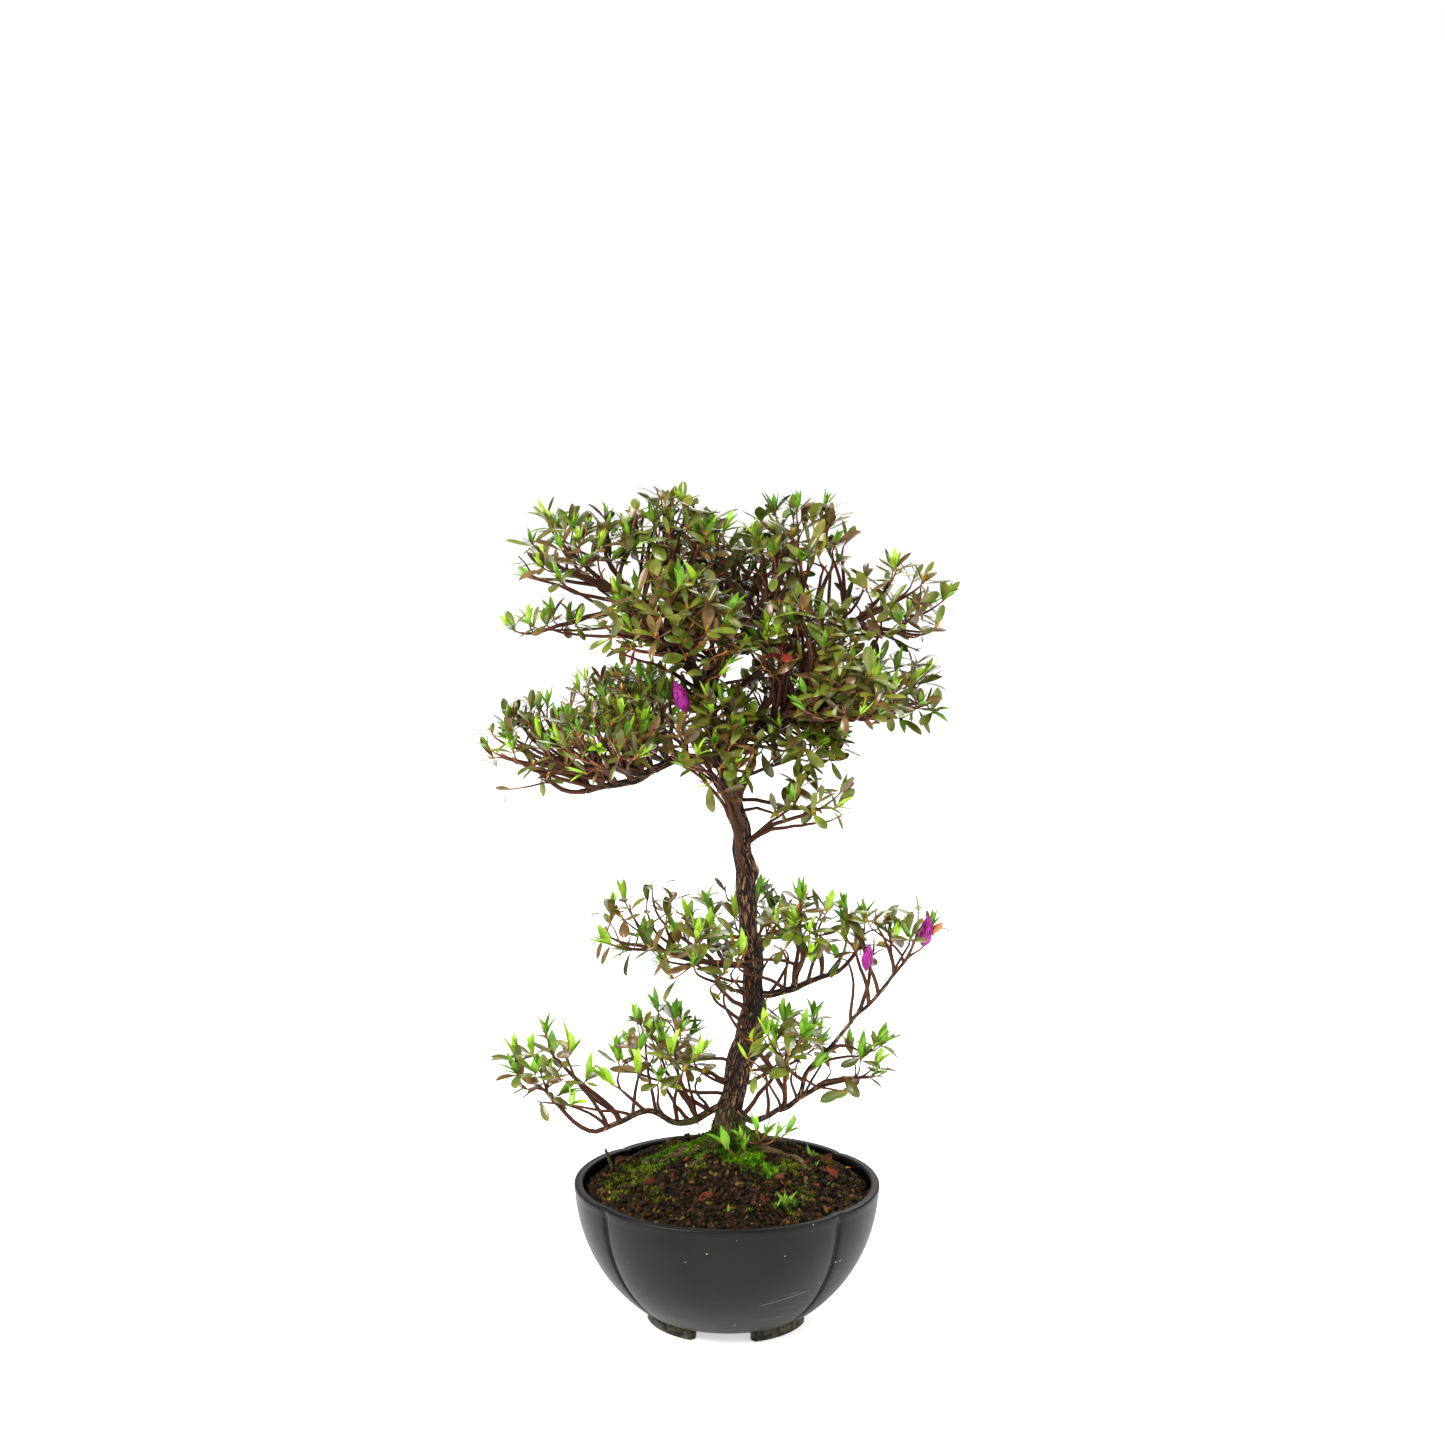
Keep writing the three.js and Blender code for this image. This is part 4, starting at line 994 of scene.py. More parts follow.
def joined(parts):
    """Several bodies as one list of points, faces and marks."""
    points, faces, marks, first = [], [], [], 0
    for part_points, part_faces, part_marks in parts:
        points.append(part_points)
        marks.append(part_marks)
        faces += [[v + first for v in face] for face in part_faces]
        first += len(part_points)
    return np.vstack(points), faces, np.concatenate(marks)


KNOTS = [
    ((15.2, 4, 240.4), 1.7, 3.2), ((3.5, 4, 158), 0.9, 4.0), ((1, 8, 262), 0.8, 3.0),
    ((10.5, 3.5, 198), 0.9, 3.4), ((-6.5, 1, 309), 1.0, 3.4), ((8.5, 5.5, 128), 1.0, 4.5),
]  # place, rise and spread of the swellings on the trunk
COLLAR = {"out": 4.5, "rise": 0.8, "spread": 3.2}
for name, on, *_ in BOUGHS:
    if on == "trunk":
        leaves_trunk, first, second = limbs[name]["line"].at(0.0)[0], *limbs[name]["spots"][:2]
        place = leaves_trunk + unit(second - first) * COLLAR["out"]
        KNOTS.append((place, COLLAR["rise"], COLLAR["spread"]))
FLARE = {"over": 20, "fade": 1.3, "roots": 0.24, "oval": 0.1}


def bark_relief(spots, bark, reach, turns):
    """The trunk's skin: fissures, strands and lumps, knots, and the lobes of the root flare."""
    size = np.clip(reach / 6, 0.25, 1.1)
    stretched = bark * (1, 1, 0.13)
    fissure = 1 - np.clip(np.abs(grain(stretched, 1.9, 5)) / 0.22, 0, 1)
    strands = grain(stretched, 1.1, 2) * 0.2 + grain(stretched, 2.8, 3) * 0.3
    lumps = grain(bark * (1, 1, 0.6), 6.5, 4) * 0.55
    push = size * (strands + lumps - 0.42 * fissure)
    for spot, rise, spread in KNOTS:
        push = push + rise * np.exp(-((np.linalg.norm(spots - spot, axis=-1) / spread) ** 2))
    fade = np.clip(1 - (spots[..., 2] - SOIL["top"]) / FLARE["over"], 0, 1) ** FLARE["fade"]
    lobes = FLARE["roots"] * fade * np.cos(5 * turns + 0.5)
    lobes = lobes + FLARE["oval"] * fade * np.cos(2 * turns + 1.1)
    return reach * (1 + lobes) + push


def bough_relief(spots, bark, reach, turns):
    """A bough's skin: fine strands and soft lumps, and a swelling where it leaves the wood."""
    push = grain(bark * (1, 1, 0.16), 1.0, 8) * 0.12 + grain(bark * (1, 1, 0.7), 3.4, 9) * 0.22
    return reach * (1 + 0.5 * np.exp(-bark[..., 2] / 3.0)) + push * np.clip(reach / 1.8, 0.4, 1.3)


TRUNK_TUBE = {"rings": 420, "even": 1.05, "sides": 76, "stump": 4.0, "stump_radius": 14.5}
TOP_ROUND = [0.98, 0.94, 0.86, 0.72, 0.5, 0.2]
BOUGH_TUBE = {"rings": 12, "sides": 14, "end": 0.6}
spots = trunk_line.at(np.linspace(0, 1, TRUNK_TUBE["rings"]) ** TRUNK_TUBE["even"])
spots = np.vstack([spots[0] - (0, 0, TRUNK_TUBE["stump"]), spots])
known_heights = [TRUNK[0][0] - TRUNK_TUBE["stump"], *[row[0] for row in TRUNK]]
known_radii = [TRUNK_TUBE["stump_radius"], *[row[3] for row in TRUNK]]
radii = np.interp(spots[:, 2], known_heights, known_radii)
radii[-len(TOP_ROUND) :] *= np.array(TOP_ROUND)
wood = [tube(wander(spots), radii, TRUNK_TUBE["sides"], bark_relief)]
for name, *_, (root, end) in BOUGHS:
    line = limbs[name]["line"]
    steps = np.linspace(0, 1, max(BOUGH_TUBE["rings"], round(line.length)))
    radii = root + (end - root) * steps
    radii[-1] *= BOUGH_TUBE["end"]
    wood.append(tube(wander(line.at(steps)), radii, BOUGH_TUBE["sides"], bough_relief))
print("limbs in bark", len(wood))

# %% [markdown]
# ## Soil and the roots on it
#
# The soil is a mound that runs up to the trunk from a little under the rim. It is a fine
# grid of points on rays from the trunk to the pot's wall, rumpled by three sizes of grain.
# The same function gives the height of the ground anywhere, so that roots, chips, moss and
# seedlings all stand on it.


# %% The pot's outline and the ground
GROOVE_DIP, GROOVE_SPREAD = 0.006, 3.0


def lobe(angles):
    """How far the wall keeps out at each angle, and how near the next groove is."""
    folded = 90 - np.abs(np.mod(angles, 180) - 90)
    groove = POT["groove"]
    share = np.where(folded < groove, folded / groove, (90 - folded) / (90 - groove))
    return 1 - POT["dip"] * share**5, np.exp(-(((folded - groove) / GROOVE_SPREAD) ** 2))


def with_pot(x, y):
    """A place turned as the whole pot is turned."""
    turn = math.radians(POT["turn"])
    return x * math.cos(turn) - y * math.sin(turn), x * math.sin(turn) + y * math.cos(turn)


def pot_ring(z, inset, angles, scale=None):
    """Points of the lobed oval at one height, set in from the outer wall."""
    if scale is None:
        scale = math.sqrt(1 - ((POT["height"] - z) / POT["bowl"]) ** 2)
    keep, groove = lobe(angles)
    keep = keep - GROOVE_DIP * groove**3
    a = np.radians(angles)
    x = np.sin(a) * (POT["half_width"] * scale - inset) * keep
    y = -np.cos(a) * (POT["half_depth"] * scale - inset) * keep
    return np.stack([*with_pot(x, y), np.full_like(x, z)], 1)


def wall_rays(z, inset):
    """How far the pot's inner wall is from the trunk, by the angle round the trunk."""
    outline = pot_ring(z, inset, np.linspace(0, 360, 721)[:-1])[:, :2] - mounds
    turns = np.arctan2(outline[:, 1], outline[:, 0])
    order = np.argsort(turns)
    return turns[order], np.linalg.norm(outline, axis=1)[order]


SOIL_INSET = POT["wall"] + 0.3
RUMPLES = [(9, 21, 1.0), (3.6, 22, 0.7), (1.5, 23, 0.3)]  # size, seed and height
edge_rays = wall_rays(SOIL["edge"], SOIL_INSET)


def ground(spots):
    """Height of the soil under places given by x and y."""
    spots = np.asarray(spots, float)
    away = spots[..., :2] - mounds
    angle = np.arctan2(away[..., 1], away[..., 0])
    edge = np.interp(angle, *edge_rays, period=2 * math.pi)
    share = np.clip((np.linalg.norm(away, axis=-1) - SOIL["flat"]) / (edge - SOIL["flat"]), 0, 1)
    flat = np.concatenate([spots[..., :2], np.zeros((*spots.shape[:-1], 1))], axis=-1)
    rumple = sum(grain(flat, size, seed) * height for size, seed, height in RUMPLES)
    return mound_height(share) + rumple * np.clip((1 - share) * 6, 0.25, 1)


SURFACE_ROOTS = [
    ([(-1, 10), (-11, 4), (-25, 1), (-43, -1)], 4.4, 2.3),
    ([(6, 9), (24, 4), (38.5, 0.6), (41, -20), (38, -33)], 3.0, 0.8),
    ([(-3, 8), (-11, -3), (-20, -14), (-24, -28)], 2.0, 0.6),
    ([(4, 22), (12, 34), (16, 46)], 3.6, 1.2),
    ([(10, 18), (25, 24), (40, 28), (54, 24)], 3.4, 1.0),
    ([(5, 8), (9, -4), (7, -17)], 2.6, 0.8),
]  # bends, radius at the trunk and at the tip
PROUD = 4  # a root thicker than this lies on the soil, the others dip into it
for bends, root, end in SURFACE_ROOTS:
    line = Line([(x, y, 0) for x, y in bends])
    steps = np.linspace(0, 1, round(line.length * 1.2))
    spots = line.at(steps)
    radii = root + (end - root) * steps**0.7
    lift = 1.0 - 0.2 * steps if root > PROUD else 0.35 - 1.1 * steps**3
    spots[:, 2] = ground(spots) + radii * lift
    wood.append(tube(spots, radii, 16, bough_relief))
points, faces, marks = joined(wood)
bark_piece = plain_object("trunk_and_boughs", points, faces, bark=marks)
print("bark mesh", triangles(bark_piece), "triangles")

# %% [markdown]
# ## Finish of the bark
#
# The bark is a reddish brown, paler where old strips have weathered, tan at the foot, with a green
# film of algae over that; its cracks and the gaps between its fibres carry painted shade, nearly
# black. The pattern follows the mark `bark`, which runs along each limb, so it bends with the
# wood; plain object coordinates would slice a leaning bough at a slant.

# %% Bark and twig finishes
bark_finish = Finish("fissured bark", Roughness=0.82, Specular_IOR_Level=0.3)
along = bark_finish.mark("bark", "Vector")
strips = bark_finish.stretched(along, (1, 1, 0.12))
fibres = bark_finish.noise(1.1, 5, strips, 0.6)
plates = bark_finish.noise(0.35, 3, strips)
patches = bark_finish.noise(150, 3)
sockets = {"Vector": along, "Scale": 0.35, "Detail": 2.0}
warp = bark_finish.node("ShaderNodeTexNoise", None, sockets, "Color")
sockets = {"Vector": bark_finish.stretched(along, (0.8, 0.8, 0.13), warp), "Scale": 1.0}
cracks = bark_finish.node("ShaderNodeTexVoronoi", {"feature": "DISTANCE_TO_EDGE"}, sockets)
old = bark_finish.mix(plates.between(0.35, 0.65), rgb(68, 44, 30), rgb(172, 124, 86))
worn = bark_finish.mix(patches.between(0.52, 0.7), old, rgb(132, 102, 72))
# Painted shade: near-black colour in the cracks and between the fibres stands in for shade in the
# fissures.
crack_shaded = bark_finish.mix(cracks.between(0.24, 0.06), worn, rgb(24, 14, 10))
fissure_shaded = bark_finish.mix(fibres.between(0.54, 0.42), crack_shaded, rgb(22, 14, 10))
height = bark_finish.axis("Z")
algae = height.between(0.122, 0.093) * bark_finish.noise(220, 4).between(0.42, 0.6)
tan_foot = height.between(0.112, 0.101) * patches.between(0.35, 0.6)
fissure_shaded = bark_finish.mix(tan_foot * 0.6, fissure_shaded, rgb(128, 104, 68))
bark_finish.put(Base_Color=bark_finish.mix(algae * 0.75, fissure_shaded, rgb(74, 82, 26)))
bark_finish.bump(fibres * 0.7 + plates * 0.5 + cracks.between(0, 0.2) * 0.6, 0.9)
smooth(bark_piece, bark_finish)

twig_finish = Finish("twig bark", Roughness=0.72, Specular_IOR_Level=0.22)
mottle = twig_finish.noise(420, 3)
twig_finish.put(Base_Color=twig_finish.mix(mottle, rgb(38, 20, 12), rgb(94, 54, 32)))
twig_finish.bump(twig_finish.noise(900, 3), 0.3)
tip_finish = Finish("green wood", Roughness=0.5)
mottle = tip_finish.noise(300, 2)
tip_finish.put(Base_Color=tip_finish.mix(mottle, rgb(104, 50, 24), rgb(142, 86, 38)))
print("finishes", bark_finish.material.name, twig_finish.material.name, tip_finish.material.name)

# %% [markdown]
# ## Twigs
#
# A twig is a line of points with a thickness at each point. Geometry Nodes turn every line into a
# tube of six sides at once. The thickness comes from how many ends a twig feeds, so each
# fork is a little thinner than what it left; a side twig, which feeds only itself, swells
# towards its limb. The last few millimetres, the growth of this spring, are a piece of
# their own in orange-brown.

# %% Twigs as lines, then as tubes
twig_rule = Rule("twigs", Sides="Int", Finish="Material")
lines = twig_rule.node("GeometryNodeMeshToCurve", None, {0: twig_rule.given("Geometry")})
circle = {0: twig_rule.given("Sides"), "Radius": 1.0}
profile = twig_rule.node("GeometryNodeCurvePrimitiveCircle", None, circle)
sockets = {"Curve": lines, "Profile Curve": profile, "Fill Caps": True}
sockets["Scale"] = twig_rule.mark("thick")
twig_rule.end(twig_rule.node("GeometryNodeCurveToMesh", None, sockets))

GREEN_WOOD = {"long": 7.0, "thinner": 0.2, "over": 1.02}
STEM_TAPER = 0.12
old_wood, new_wood = [], []
for twig in twigs:
    radii = np.minimum(TWIG["stem"], TWIG["tip"] * twig["loads"] ** TWIG["branch"])
    radii = np.convolve(np.pad(radii, 1, "edge"), [0.25, 0.5, 0.25], "valid")
    spots = wander(twig["spots"])
    twig["axis"] = unit(spots[-1] - spots[-2])
    twig["tip"] = spots[-1]
    if twig["parent"] is None and not twig["mass"]["height"] and "spur" not in twig:
        stem = limbs[twig["mass"]["on"]]["radii"][-1]
        radii = np.maximum(radii, stem - STEM_TAPER * (twig["paths"] - twig["paths"][0]))
    left = twig["paths"][-1] - twig["paths"]
    radii = radii + SPUR["swell"] * left * ("spur" in twig)
    fresh = left < GREEN_WOOD["long"]
    radii = radii * (1 - GREEN_WOOD["thinner"] * fresh)
    cut = max(2, len(spots) - fresh.sum() + 1)
    old_wood.append((spots[:cut], radii[:cut]))
    new_wood.append((spots[cut - 2 :], radii[cut - 2 :] * GREEN_WOOD["over"]))


def twig_tubes(name, lines, finish, sides):
    """One piece with a tube along each line, given as spots and radii."""
    points = np.vstack([spots for spots, _ in lines])
    thick = np.concatenate([radii for _, radii in lines]) * MM
    edges, first = [], 0
    for spots, _ in lines:
        edges += [(first + i, first + i + 1) for i in range(len(spots) - 1)]
        first += len(spots)
    source = plain_object(name + " lines", points, [], edges, thick=thick)
    return grown(name, source, twig_rule, finish, Sides=sides)


twig_piece = twig_tubes("twigs", old_wood, twig_finish, 6)
shoot_piece = twig_tubes("green_wood", new_wood, tip_finish, 5)
print("twigs", triangles(twig_piece), "ends", triangles(shoot_piece), "triangles")

# %% [markdown]
# ## Leaves
#
# The old leaves are small, leathery and broadest past their middle, two to five in a whorl at
# the end of each twig, dark green with a bronze cast. Many ends also carry this spring's
# tuft of narrow, pointed, bright leaves that stand up from rust-coloured scales; these are
# larger and brighter on the two open tiers than in the crown. A few shapes of each kind are
# drawn once, unlinked from the scene, and Geometry Nodes put one on every point that the
# whorls lay down, turned by the marks `way` and `up`. Tints are dealt out by spray, each
# tint a material and a piece of its own.


# %% Shapes of leaves
def shape_object(name, points, faces, collection):
    mesh = bpy.data.meshes.new(name)
    mesh.from_pydata([tuple(point) for point in points], [], faces)
    collection.objects.link(bpy.data.objects.new(name, mesh))


BLADE = [
    (0, 0.03), (0.1, 0.045), (0.24, 0.12), (0.44, 0.2), (0.64, 0.232), (0.82, 0.195),
    (0.94, 0.11), (1, 0.015),
]  # share of the length, half the width there
NEEDLE = [(0, 0.05), (0.25, 0.105), (0.5, 0.125), (0.78, 0.08), (1, 0.01)]


def leaf_shape(name, rows, columns, bend, fold, curl, wide, collection):
    """A leaf one unit long along +X, upper side to +Z, bent down and folded on its midrib."""
    points, faces, x, z, last = [], [], 0.0, 0.0, 0.0
    for share, half in rows:
        middle = bend * (share + last) / 2
        x += (share - last) * math.cos(middle)
        z -= (share - last) * math.sin(middle)
        last, tilt = share, bend * share
        for column in columns:
            y = column * half * wide
            rise = fold * abs(y) - curl * half * column**2
            points.append((x + math.sin(tilt) * rise, y, z + math.cos(tilt) * rise))
    count = len(columns)
    for i in range(len(rows) - 1):
        for k in range(count - 1):
            low = i * count + k
            faces.append((low, low + count, low + count + 1, low + 1))
    shape_object(name, points, [face[::-1] for face in faces], collection)


old_shapes = bpy.data.collections.new("old leaves")
young_shapes = bpy.data.collections.new("young leaves")
FIVE_ACROSS, THREE_ACROSS = (-1, -0.5, 0, 0.5, 1), (-1, 0, 1)
OLD_LEAVES = [
    (0.5, 0.3, 0.12, 0.88), (0.95, 0.15, 0.3, 0.8), (0.15, 0.42, 0.02, 0.92),
    (-0.3, 0.35, 0.1, 0.7), (0.7, 0.05, 0.35, 1.0), (0.6, 0.5, 0.1, 0.56),
    (-0.2, 0.6, 0.1, 0.62),
]  # bend, fold, curl and width
YOUNG_LEAVES = [
    (-0.4, 0.5, 0, 1), (-0.1, 0.7, 0, 0.85), (0.35, 0.4, 0, 1.15), (-0.5, 0.4, 0, 1.45),
    (0.3, 0.5, 0, 1.3),
]
for k, leaf in enumerate(OLD_LEAVES):
    leaf_shape(f"leaf_{k}", BLADE, FIVE_ACROSS, *leaf, old_shapes)
for k, leaf in enumerate(YOUNG_LEAVES):
    leaf_shape(f"shoot_{k}", NEEDLE, THREE_ACROSS, *leaf, young_shapes)

leaf_rule = Rule("leaves", Shapes="Collection", Finish="Material")
settings = {"transform_space": "ORIGINAL"}
sockets = {"Collection": leaf_rule.given("Shapes"), "Separate Children": True}
sockets["Reset Children"] = True
shapes = leaf_rule.node("GeometryNodeCollectionInfo", settings, sockets)
settings = {"primary_axis": "X", "secondary_axis": "Z"}
ways = {0: leaf_rule.mark("way", "FLOAT_VECTOR"), 1: leaf_rule.mark("up", "FLOAT_VECTOR")}
turned = leaf_rule.node("FunctionNodeAxesToRotation", settings, ways)
sockets = {"Points": leaf_rule.given("Geometry"), "Instance": shapes, "Pick Instance": True}
sockets["Instance Index"] = leaf_rule.mark("shape", "INT")
sockets["Rotation"] = turned
sockets["Scale"] = leaf_rule.mark("size")
leaf_rule.end(leaf_rule.node("GeometryNodeInstanceOnPoints", None, sockets))

# %% Whorls, tufts and scales at every twig's end
deal = np.random.default_rng(17)
OLD_TINTS = {"leaf_deep": 0.34, "leaf_green": 0.3, "leaf_bronze": 0.25, "leaf_olive": 0.11}
YOUNG_TINTS = {"shoot_bright": 0.65, "shoot_lime": 0.35}
LEAFY = {
    "left_pad": 0.54, "centre": 0.8, "crown_front": 0.55, "crown_middle": 0.6, "crown": 0.8,
    "right_pad_front": 0.7, "right_pad": 0.75, "mid": 1.0, "low": 1.0, "bud": 1.0, "foot": 1.0,
}  # share of a mass's ends that have old leaves
TUFTS = {
    "crown_top_left": 0.9, "crown_left_spur": 0.9, "crown_top": 0.34, "crown_front": 0.3,
    "crown": 0.26, "left": 0.45, "right": 0.4, "centre": 0.4, "mid": 0.45, "low": 0.7,
    "bud": 0.8,
}  # share of a mass's ends that have a tuft of young leaves
OLD, ROUND, SLIM, YOUNG, BROAD = range(7), range(5), (3, 5, 6), range(3), range(3, 5)
WHORL = {
    "tier": {"count": (2, 5), "shapes": ROUND, "long": (10.5, 16), "spread": (46, 86)},
    "left_pad": {"count": (3, 6), "shapes": SLIM, "long": (8.5, 13.5), "spread": (30, 78)},
    "crown": {"count": (3, 6), "shapes": OLD, "long": (10.5, 16), "spread": (30, 78)},
}
BELOW_BUD = (58, 84)  # leaves spread wide under a flower bud
TUFT = {
    "tier": {"long": (9.5, 15), "shapes": [*YOUNG, *YOUNG, *BROAD]},
    "left_pad": {"long": (7, 12.5), "shapes": YOUNG},
    "crown": {"long": (7, 12.5), "shapes": YOUNG},
}
LOW_SIDE = {"below": -0.15, "count": (1, 3), "tufts": 0.6}
FULL_SIDE = {"above": 0.2, "gain": 1.25, "loss": 0.8}
BARE = {"scales": 0.25, "tufts": 0.4}
ALONG_TWIG = 0.1
GOLDEN = 2.39996
leaves = {}


def add_leaf(tint, root, way, up, long, shape, mass=None):
    leaves.setdefault(tint, []).append((root, way, up, long, shape, mass))


def leaf_way(axis, turn, spread):
    """The way of a leaf that is turned round an axis and leans from it."""
    side = unit(np.cross(axis, (0.3, 0.2, 1.0) if abs(axis[2]) < 0.9 else (1.0, 0.2, 0)))
    out = side * math.cos(turn) + np.cross(axis, side) * math.sin(turn)
    return unit(axis * math.cos(spread) + out * math.sin(spread))


def pick(tints):
    return deal.choice(list(tints), p=list(tints.values()))


def whorl(tip, axis, tint, count, long, spread, shapes, mass, back=3.5):
    """Leaves round the end of a twig, the first the most upright, the last the flattest."""
    turn = deal.uniform(0, 6.28)
    for k in range(count):
        angle = math.radians(spread[0] + (spread[1] - spread[0]) * (k + deal.uniform()) / count)
        way = leaf_way(axis, turn + k * GOLDEN + deal.uniform(-0.3, 0.3), angle)
        root = tip - axis * deal.uniform(0, back)
        facing = unit(axis * 0.7 + np.array([0, 0, 0.5]))
        shade = pick(OLD_TINTS) if tint in OLD_TINTS and deal.uniform() < 0.4 else tint
        add_leaf(shade, root, way, facing, deal.uniform(*long), deal.choice(shapes), mass)


for twig in twigs:
    mass, tip = twig["mass"], twig["tip"]
    axis = unit(twig["axis"] + (0, 0, 0.35))
    spots = wander(twig["spots"])
    bud = "bud" in twig["end"]
    tint = pick(OLD_TINTS)
    raised = (tip[2] - mass["at"][2]) / mass["half"][2]
    region = "left_pad" if mass["name"].startswith("left_pad") else "crown"
    region = "tier" if mass["name"].startswith(TIERS) else region
    style = WHORL[region]
    count = deal.integers(*style["count"])
    under = raised < LOW_SIDE["below"]
    count = count if raised > LOW_SIDE["below"] else deal.integers(*LOW_SIDE["count"])
    fullness = FULL_SIDE["loss"] if raised < FULL_SIDE["above"] else FULL_SIDE["gain"]
    leafy = share_of(LEAFY, mass["name"]) * fullness
    bare = not bud and "leafy" not in twig["end"] and deal.uniform() > leafy
    if not mass["young"] and not bare:
        spread = BELOW_BUD if bud else style["spread"]
        whorl(tip, axis, tint, count, style["long"], spread, style["shapes"], mass)
    if not bare or deal.uniform() < BARE["scales"]:
        whorl(tip, axis, "bud_scale", 4, (3, 4.6), (10, 38), YOUNG, mass, back=2.2)
    share = share_of(TUFTS, mass["name"]) * (LOW_SIDE["tufts"] if under else 1)
    share *= BARE["tufts"] if bare else 1
    if not bud and deal.uniform() < share:
        style = TUFT[region]
        green = "shoot_foot" if mass["young"] else pick(YOUNG_TINTS)
        count = deal.integers(4, 6)
        whorl(tip, axis, green, count, style["long"], (5, 34), style["shapes"], mass, back=0.6)
    for i in range(len(spots) // 2 + 1, len(spots) - 1):
        if mass["young"] or deal.uniform() > ALONG_TWIG:
            continue
        way = unit(spots[i + 1] - spots[i])
        whorl(spots[i], way, tint, 1, (7, 11), (50, 80), OLD, mass, back=0.2)

# Shoots that rise from the roots in front of the trunk
UP = np.array([0, 0, 1.0])
BASAL = [((5, -5), (0, -6, 95), (11, 15)), ((10, -4), (9, -4, 94), (7, 9))]
STALK_STEPS = np.linspace(0, 1, 7)
basal_lines = []
for foot, tip, long in BASAL:
    start = np.array([*foot, ground(np.array([foot]))[0] - 1])
    tip = np.array(tip, float)
    axis = unit(tip - start + UP * 6)
    basal_lines.append((arc(start, UP, tip, axis, STALK_STEPS), np.full(7, 0.55)))
    whorl(tip, axis, "shoot_foot", 5, long, (8, 46), [2, *BROAD], None, back=1)
    whorl(tip, axis, "shoot_foot", 2, (8, 11), (4, 25), YOUNG, None, back=0.5)
basal_piece = twig_tubes("basal_shoots", basal_lines, tip_finish, 5)

# Each bud stands on a short stalk; the one in front of the fork is off its twig, and leans left
BUD_SEATS = {"centre_front": ((4, 0, 10.5), (-0.42, -0.12, 1))}


def bud_seat(twig):
    """Where a bud's petals start, and the way they point."""
    shift, lean = BUD_SEATS.get(twig["mass"]["name"], ((0, 0, 0), twig["end"]["bud"]))
    return twig["tip"] + shift, unit(lean)


bud_twigs = [twig for twig in twigs if "bud" in twig["end"]]
stalks = []
for twig in bud_twigs:
    seat, lean = bud_seat(twig)
    start = twig["tip"] - twig["axis"]
    stalk = arc(start, twig["axis"], seat + lean * 0.5, lean, STALK_STEPS)
    stalks.append((stalk, np.full(7, 0.65)))
stalk_piece = twig_tubes("bud_stalks", stalks, tip_finish, 6)

# Single leaves that have turned, and shrivelled flowers, each on the nearest twig's end
all_tips = np.array([twig["tip"] for twig in twigs])
TURNED = [
    ((-20, -10, 161), "leaf_tan"), ((60, -30, 325), "leaf_tan"), ((-60, -5, 345), "leaf_tan"),
    ((26, -48, 365), "petal_dry"), ((-34, -48, 362), "petal_dry"),
    ((30, 30, 395), "leaf_tan"), ((20, 50, 200), "leaf_tan"),
]
for spot, tint in TURNED:
    twig = twigs[int(np.argmin(np.linalg.norm(all_tips - spot, axis=1)))]
    count = 3 if tint == "petal_dry" else 1
    whorl(twig["tip"], twig["axis"], tint, count, (8, 13), (20, 60), OLD, twig["mass"], back=1)
print({tint: len(rows) for tint, rows in leaves.items()})

# %% [markdown]
# ## Finish of the leaves
#
# A leaf's tint is one plain colour with a slight mottle. What makes it look like an azalea is the
# gloss: the leathery old blades mirror the white sky and turn grey-green where they tilt
# up, while the young ones are softer and brighter.


# %% Leaf finishes and pieces
LEAF_SHINE = 0.25
BUD_ROOM = {"from": 5, "to": 19, "shift": (0, -2.5, 0), "radius": 8}
LEAF_GAP, LEAF_ABOVE_SOIL = 0.4, 1.5


def leaf_finish(name, dark, pale, roughness, coat):
    made = Finish(name, Roughness=roughness, Coat_Weight=coat, Coat_Roughness=0.2)
    made.put(Specular_IOR_Level=LEAF_SHINE)
    made.put(Base_Color=made.mix(made.noise(130, 3).between(0.35, 0.65), dark, pale))
    made.bump(made.noise(700, 2), 0.12)
    return made


TINTS = {
    "leaf_deep": leaf_finish("deep green leaf", rgb(66, 70, 22), rgb(102, 100, 36), 0.32, 0.48),
    "leaf_green": leaf_finish("green leaf", rgb(82, 98, 24), rgb(116, 124, 40), 0.34, 0.42),
    "leaf_bronze": leaf_finish("bronze leaf", rgb(80, 60, 30), rgb(114, 88, 44), 0.3, 0.44),
    "leaf_olive": leaf_finish("olive leaf", rgb(92, 98, 26), rgb(126, 124, 34), 0.36, 0.35),
    "shoot_bright": leaf_finish("bright shoot", rgb(86, 136, 20), rgb(120, 168, 36), 0.42, 0.2),
    "shoot_lime": leaf_finish("lime shoot", rgb(134, 180, 34), rgb(168, 204, 56), 0.42, 0.2),
    "shoot_foot": leaf_finish("foot shoot", rgb(126, 190, 48), rgb(172, 214, 76), 0.45, 0.2),
    "bud_scale": leaf_finish("bud scale", rgb(146, 86, 26), rgb(190, 146, 46), 0.5, 0.1),
    "leaf_tan": leaf_finish("turned leaf", rgb(206, 120, 48), rgb(222, 164, 88), 0.5, 0.1),
    "petal_dry": leaf_finish("shrivelled petal", rgb(82, 14, 20), rgb(118, 36, 28), 0.6, 0.0),
}


def near_bud(spots):
    """Which places crowd a flower bud."""
    near = np.zeros(len(spots), bool)
    for twig in bud_twigs:
        seat, lean = bud_seat(twig)
        along = np.clip((spots - seat) @ lean, BUD_ROOM["from"], BUD_ROOM["to"])
        away = spots - seat - along[:, None] * lean - BUD_ROOM["shift"]
        near |= np.linalg.norm(away, axis=1) < BUD_ROOM["radius"]
    return near


